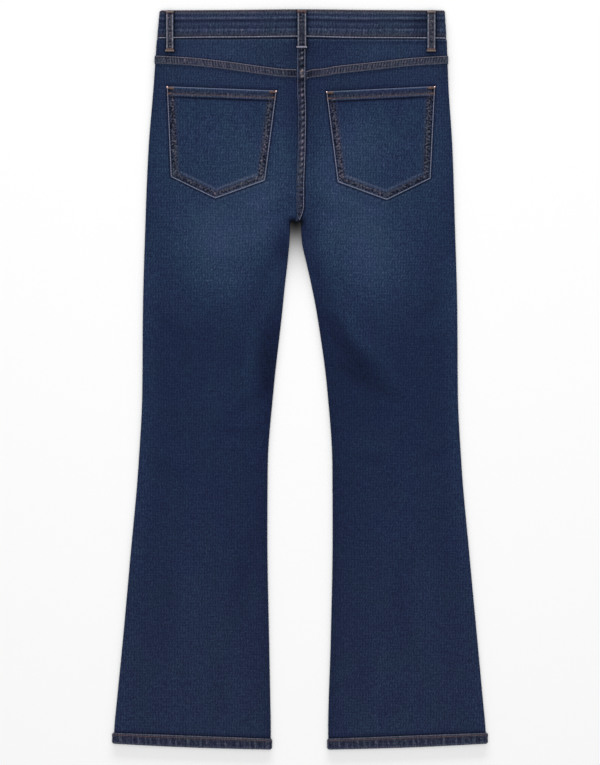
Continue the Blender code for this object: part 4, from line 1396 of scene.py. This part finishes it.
def belt_loop(place):
    """A folded strip that arches over the waistband and is tacked down at both ends, with its threads."""
    at = span("loop_" + place.spot)
    name = "carrier_" + place.spot
    width = at.width - 2 * place.slim
    down, aside = grid(lines(at.bottom - LOOP_TOP, 0.9) + LOOP_TOP, lines(width, 0.8) - width / 2)
    way = np.minimum(np.minimum(width / 2 - np.abs(aside), down - LOOP_TOP), at.bottom - down)
    way = np.maximum(way, 0)
    loop = sew(name, "loop", ["loop_" + place.spot], loop_face(place, aside, down), way, reverse=FACE_TONE)

    surface, flat = partial(loop_face, place), (1.0, 0.0)
    row_down = np.linspace(5.0, at.bottom - 4.5, 80)
    rows = [stitch_row(surface, sign * (at.width / 2 - 2.8), row_down, "belt loop's") for sign in (-1, 1)]
    faded = place.spot == "centre_back"
    foot = at.bottom - (0.4 if faded else 1.0)
    proud = 0.25 * place.face * LOOP_PRESSED[place.face]
    tacks = [
        bar_tack(surface, 0, 3.7, flat, proud, at.width - 0.6, 2.8, 0.75),
        bar_tack(surface, 0, foot, flat, proud, at.width + 1.0, 2.5, 0.75),
    ]
    if faded:
        rows.append(tacks.pop(0))
    else:
        rows.append(bar_tack(surface, 0, at.bottom - 3.4, flat, 0.0, at.width - 2.0, 1.8, 0.6))
    tack = stitches(name + "_tacks", "loop", tacks, THREAD_CREAM if faded else THREAD_ECRU)
    threads = stitches(name + "_stitches", "loop", rows, THREAD_RUST)
    declare(loop, [threads, tack])


def button():
    """A shank button, face down: a domed head with a raised rim and a sunk ring, on a post."""
    seat, rim = BUTTON.high, BUTTON_RIM
    profile = table(
        "radius height",
        (1.6, 0.5), (2.6, 0.75), (3.4, 0.75), (4.0, 0.35), (5.4, 0.2), (6.2, 0.5), (6.8, 0.5),
        (7.3, 0.1), (rim - 0.5, 0.05), (rim, 0.6), (rim, 1.7), (rim - 0.5, 2.3), (rim - 1.3, 2.5),
        (3.6, 2.8), (3.2, 3.2), (3.2, seat - 0.2), (3.0, seat),
    )
    turns = np.arange(BUTTON_SIDES) * math.tau / BUTTON_SIDES
    radius, height = np.array(profile).T[:, :, None]
    ring = stack(BUTTON.middle + radius * np.cos(turns), BUTTON_DOWN + radius * np.sin(turns), height)
    ends = [(BUTTON.middle, BUTTON_DOWN, 0.55), (BUTTON.middle, BUTTON_DOWN, seat)]
    verts = to_world(np.concatenate([ring.reshape(-1, 3), ends]))
    faces = ring_faces(len(profile), len(turns))
    piece = add_mesh("button_cap", verts, faces, antique_brass("antique_brass"))
    piece.data.set_sharp_from_angle(angle=math.radians(50))
    return place_piece(piece, "button_brass", "waist_button")


# ---- putting it together


def declare(piece, with_pieces=(), flat=None):
    """Works out a piece's flat size in millimetres, or without one its size as it lies, and its cut area,
    and keeps none of them.
    """
    places = np.array([vertex.co for vertex in piece.data.vertices])
    size = np.array(flat) * MM if flat else np.ptp(places, axis=0)[:2]
    width, length = float(size[0]), float(size[1])
    area = min(piece["cut_area"], width * length)


def seam_stitches():
    """Both rows of each felled seam: yoke seams in taupe, seat seam in cream and taupe."""
    taupe = []
    yoke_top, seat_top = partial(seam_face, lambda down: 0.0), partial(seam_face, seat_lift)
    for out in SIDES.values():
        across = np.linspace(seam_at(85.0) + out * 7.5, outer_at(out, 70.0) - out * 1.2, 220)
        for inset, row in ((1.1, "upper"), (YOKE_SEAM_WIDTH - 1.6, "lower")):
            taupe.append(stitch_row(yoke_top, across, yoke_at(across) + inset, "yoke seam's " + row))
    down = np.linspace(SEAT_SEAM_TOP + 12.5, FORK_DOWN - 3.0, 260)
    right_row = seam_at(down) + seat_half_width(down) - 0.9
    left_row = seam_at(down) - seat_half_width(down) + 1.2
    cream = stitch_row(seat_top, right_row, down, "seat seam's right")
    taupe.append(stitch_row(seat_top, left_row, down, "seat seam's left"))
    stitches("seam_stitches_taupe", "back", taupe, THREAD_TAUPE)
    stitches("seam_stitches_cream", "back", [cream], THREAD_CREAM)


def front_stitches():
    """The rows on the hidden side: the fly's curve, the mouths of the front pockets, the front seam."""
    surface = partial(panel_face, -1)
    rows = []
    for inset in FLY_ROWS:
        turn = np.linspace(0, math.pi / 2, 40)[1:]
        straight = np.linspace(BAND_WIDTH + 2, FLY_BEND_DOWN, 90)
        down = np.concatenate([straight, FLY_BEND_DOWN + (inset - 2) * np.sin(turn)])
        across = np.concatenate([0 * straight - inset, -2 - (inset - 2) * np.cos(turn)]) + FLY_EDGE
        rows.append(stitch_row(surface, across, down, "front's"))
    depth = np.linspace(0.02, 0.95, 90)
    down = BAND_WIDTH + SCOOP_DEPTH * depth
    for out in SIDES.values():
        for inset in SCOOP_ROWS:
            across = outer_at(out, down) - out * (scoop_mouth(depth) + inset)
            rows.append(stitch_row(surface, across, down, "front's"))
    down = np.linspace(FLY_END_DOWN, FORK_DOWN - 4.0, 110)
    for aside in FRONT_SEAM_ROWS:
        rows.append(stitch_row(surface, seam_at(down) - aside, down, "front's"))
    stitches("front_stitches", "front", rows, THREAD_TAUPE)


def build():
    for side, out in SIDES.items():
        front = leg_panel("front", side, -1, FRONT_STEP)
        back = leg_panel("back", side, 1, BACK_STEP)
        declare(front)
        declare(back)
        declare(yoke(side), [yoke_seam(side)])
        pocket, hem = back_pocket(side), leg_hem(side)
        declare(pocket, pocket_stitches(side))
        hem_row = stitch_row(partial(hem_face, out), np.linspace(0, 1, 460), HEM_ROW)
        hem_stitches = stitches("hem_stitches_" + side, "hem", [hem_row], THREAD_RUST)
        round_hem = tube_length(*sorted(float(fold) for fold in hem_folds(out)), THREAD_ROOM, HEM_TOP)
        declare(hem, [hem_stitches], (round_hem, HEM_WIDTH))
    round_band = tube_length(OUTER_EDGES[1].left, OUTER_EDGES[1].right, BAND_LOW, BAND_TOP)
    band_flat = (round_band + LAP_LEFT_END - LAP_RIGHT_END, BAND_WIDTH)
    declare(waistband(), band_stitches(), band_flat)
    seat_seam()
    seam_stitches()
    front_stitches()
    for place in BELT_LOOPS:
        belt_loop(place)
    button()


build()

# ---- floor, light and camera

FLOOR_HALF = 6.0
FLOOR_CORNERS = np.array([(-1, -1, 0), (1, -1, 0), (1, 1, 0), (-1, 1, 0)], float) * FLOOR_HALF
floor = add_mesh("floor", FLOOR_CORNERS, np.array([[0, 1, 2, 3]]), studio_white("studio_floor_paint"))


def soft_light(name, place, size, power):
    """A large rectangular lamp, aimed at the middle of the floor, that the camera doesn't see."""
    light = bpy.data.lights.new(name, "AREA")
    light.shape = "RECTANGLE"
    light.size, light.size_y = size
    light.energy = power
    lamp = bpy.data.objects.new(name, light)
    bpy.context.scene.collection.objects.link(lamp)
    lamp.location = place
    lamp.rotation_euler = (Vector() - Vector(place)).to_track_quat("-Z", "Y").to_euler()
    lamp.visible_camera = False


soft_light("overhead_softbox", (0.0, 0.0, 3.4), (3.6, 3.6), 72.0)
soft_light("low_strip_behind_waist", (0.0, 5.4, 1.24), (5.0, 0.9), 270.0)

world = bpy.data.worlds.new("studio")
bpy.context.scene.world = world
world.use_nodes = True
world.node_tree.nodes["Background"].inputs["Color"].default_value = (1.0, 1.0, 1.0, 1.0)
world.node_tree.nodes["Background"].inputs["Strength"].default_value = 0.45

FRAME_TALL = 1.0958  # metres of floor that the picture takes in, top to bottom
FRAME_MIDDLE = (0.0, -0.0038, 0.006)  # a little below the garment's middle, and halfway up its cloth
LENS, SENSOR = 85.0, 36.0
camera = bpy.data.objects.new("camera", bpy.data.cameras.new("camera"))
camera.data.lens = LENS
camera.data.sensor_width = SENSOR
camera.location = Vector((0.0, 0.0, FRAME_TALL * LENS / SENSOR)) + Vector(FRAME_MIDDLE)
bpy.context.scene.collection.objects.link(camera)
bpy.context.scene.camera = camera
bpy.context.scene.view_settings.view_transform = "Standard"
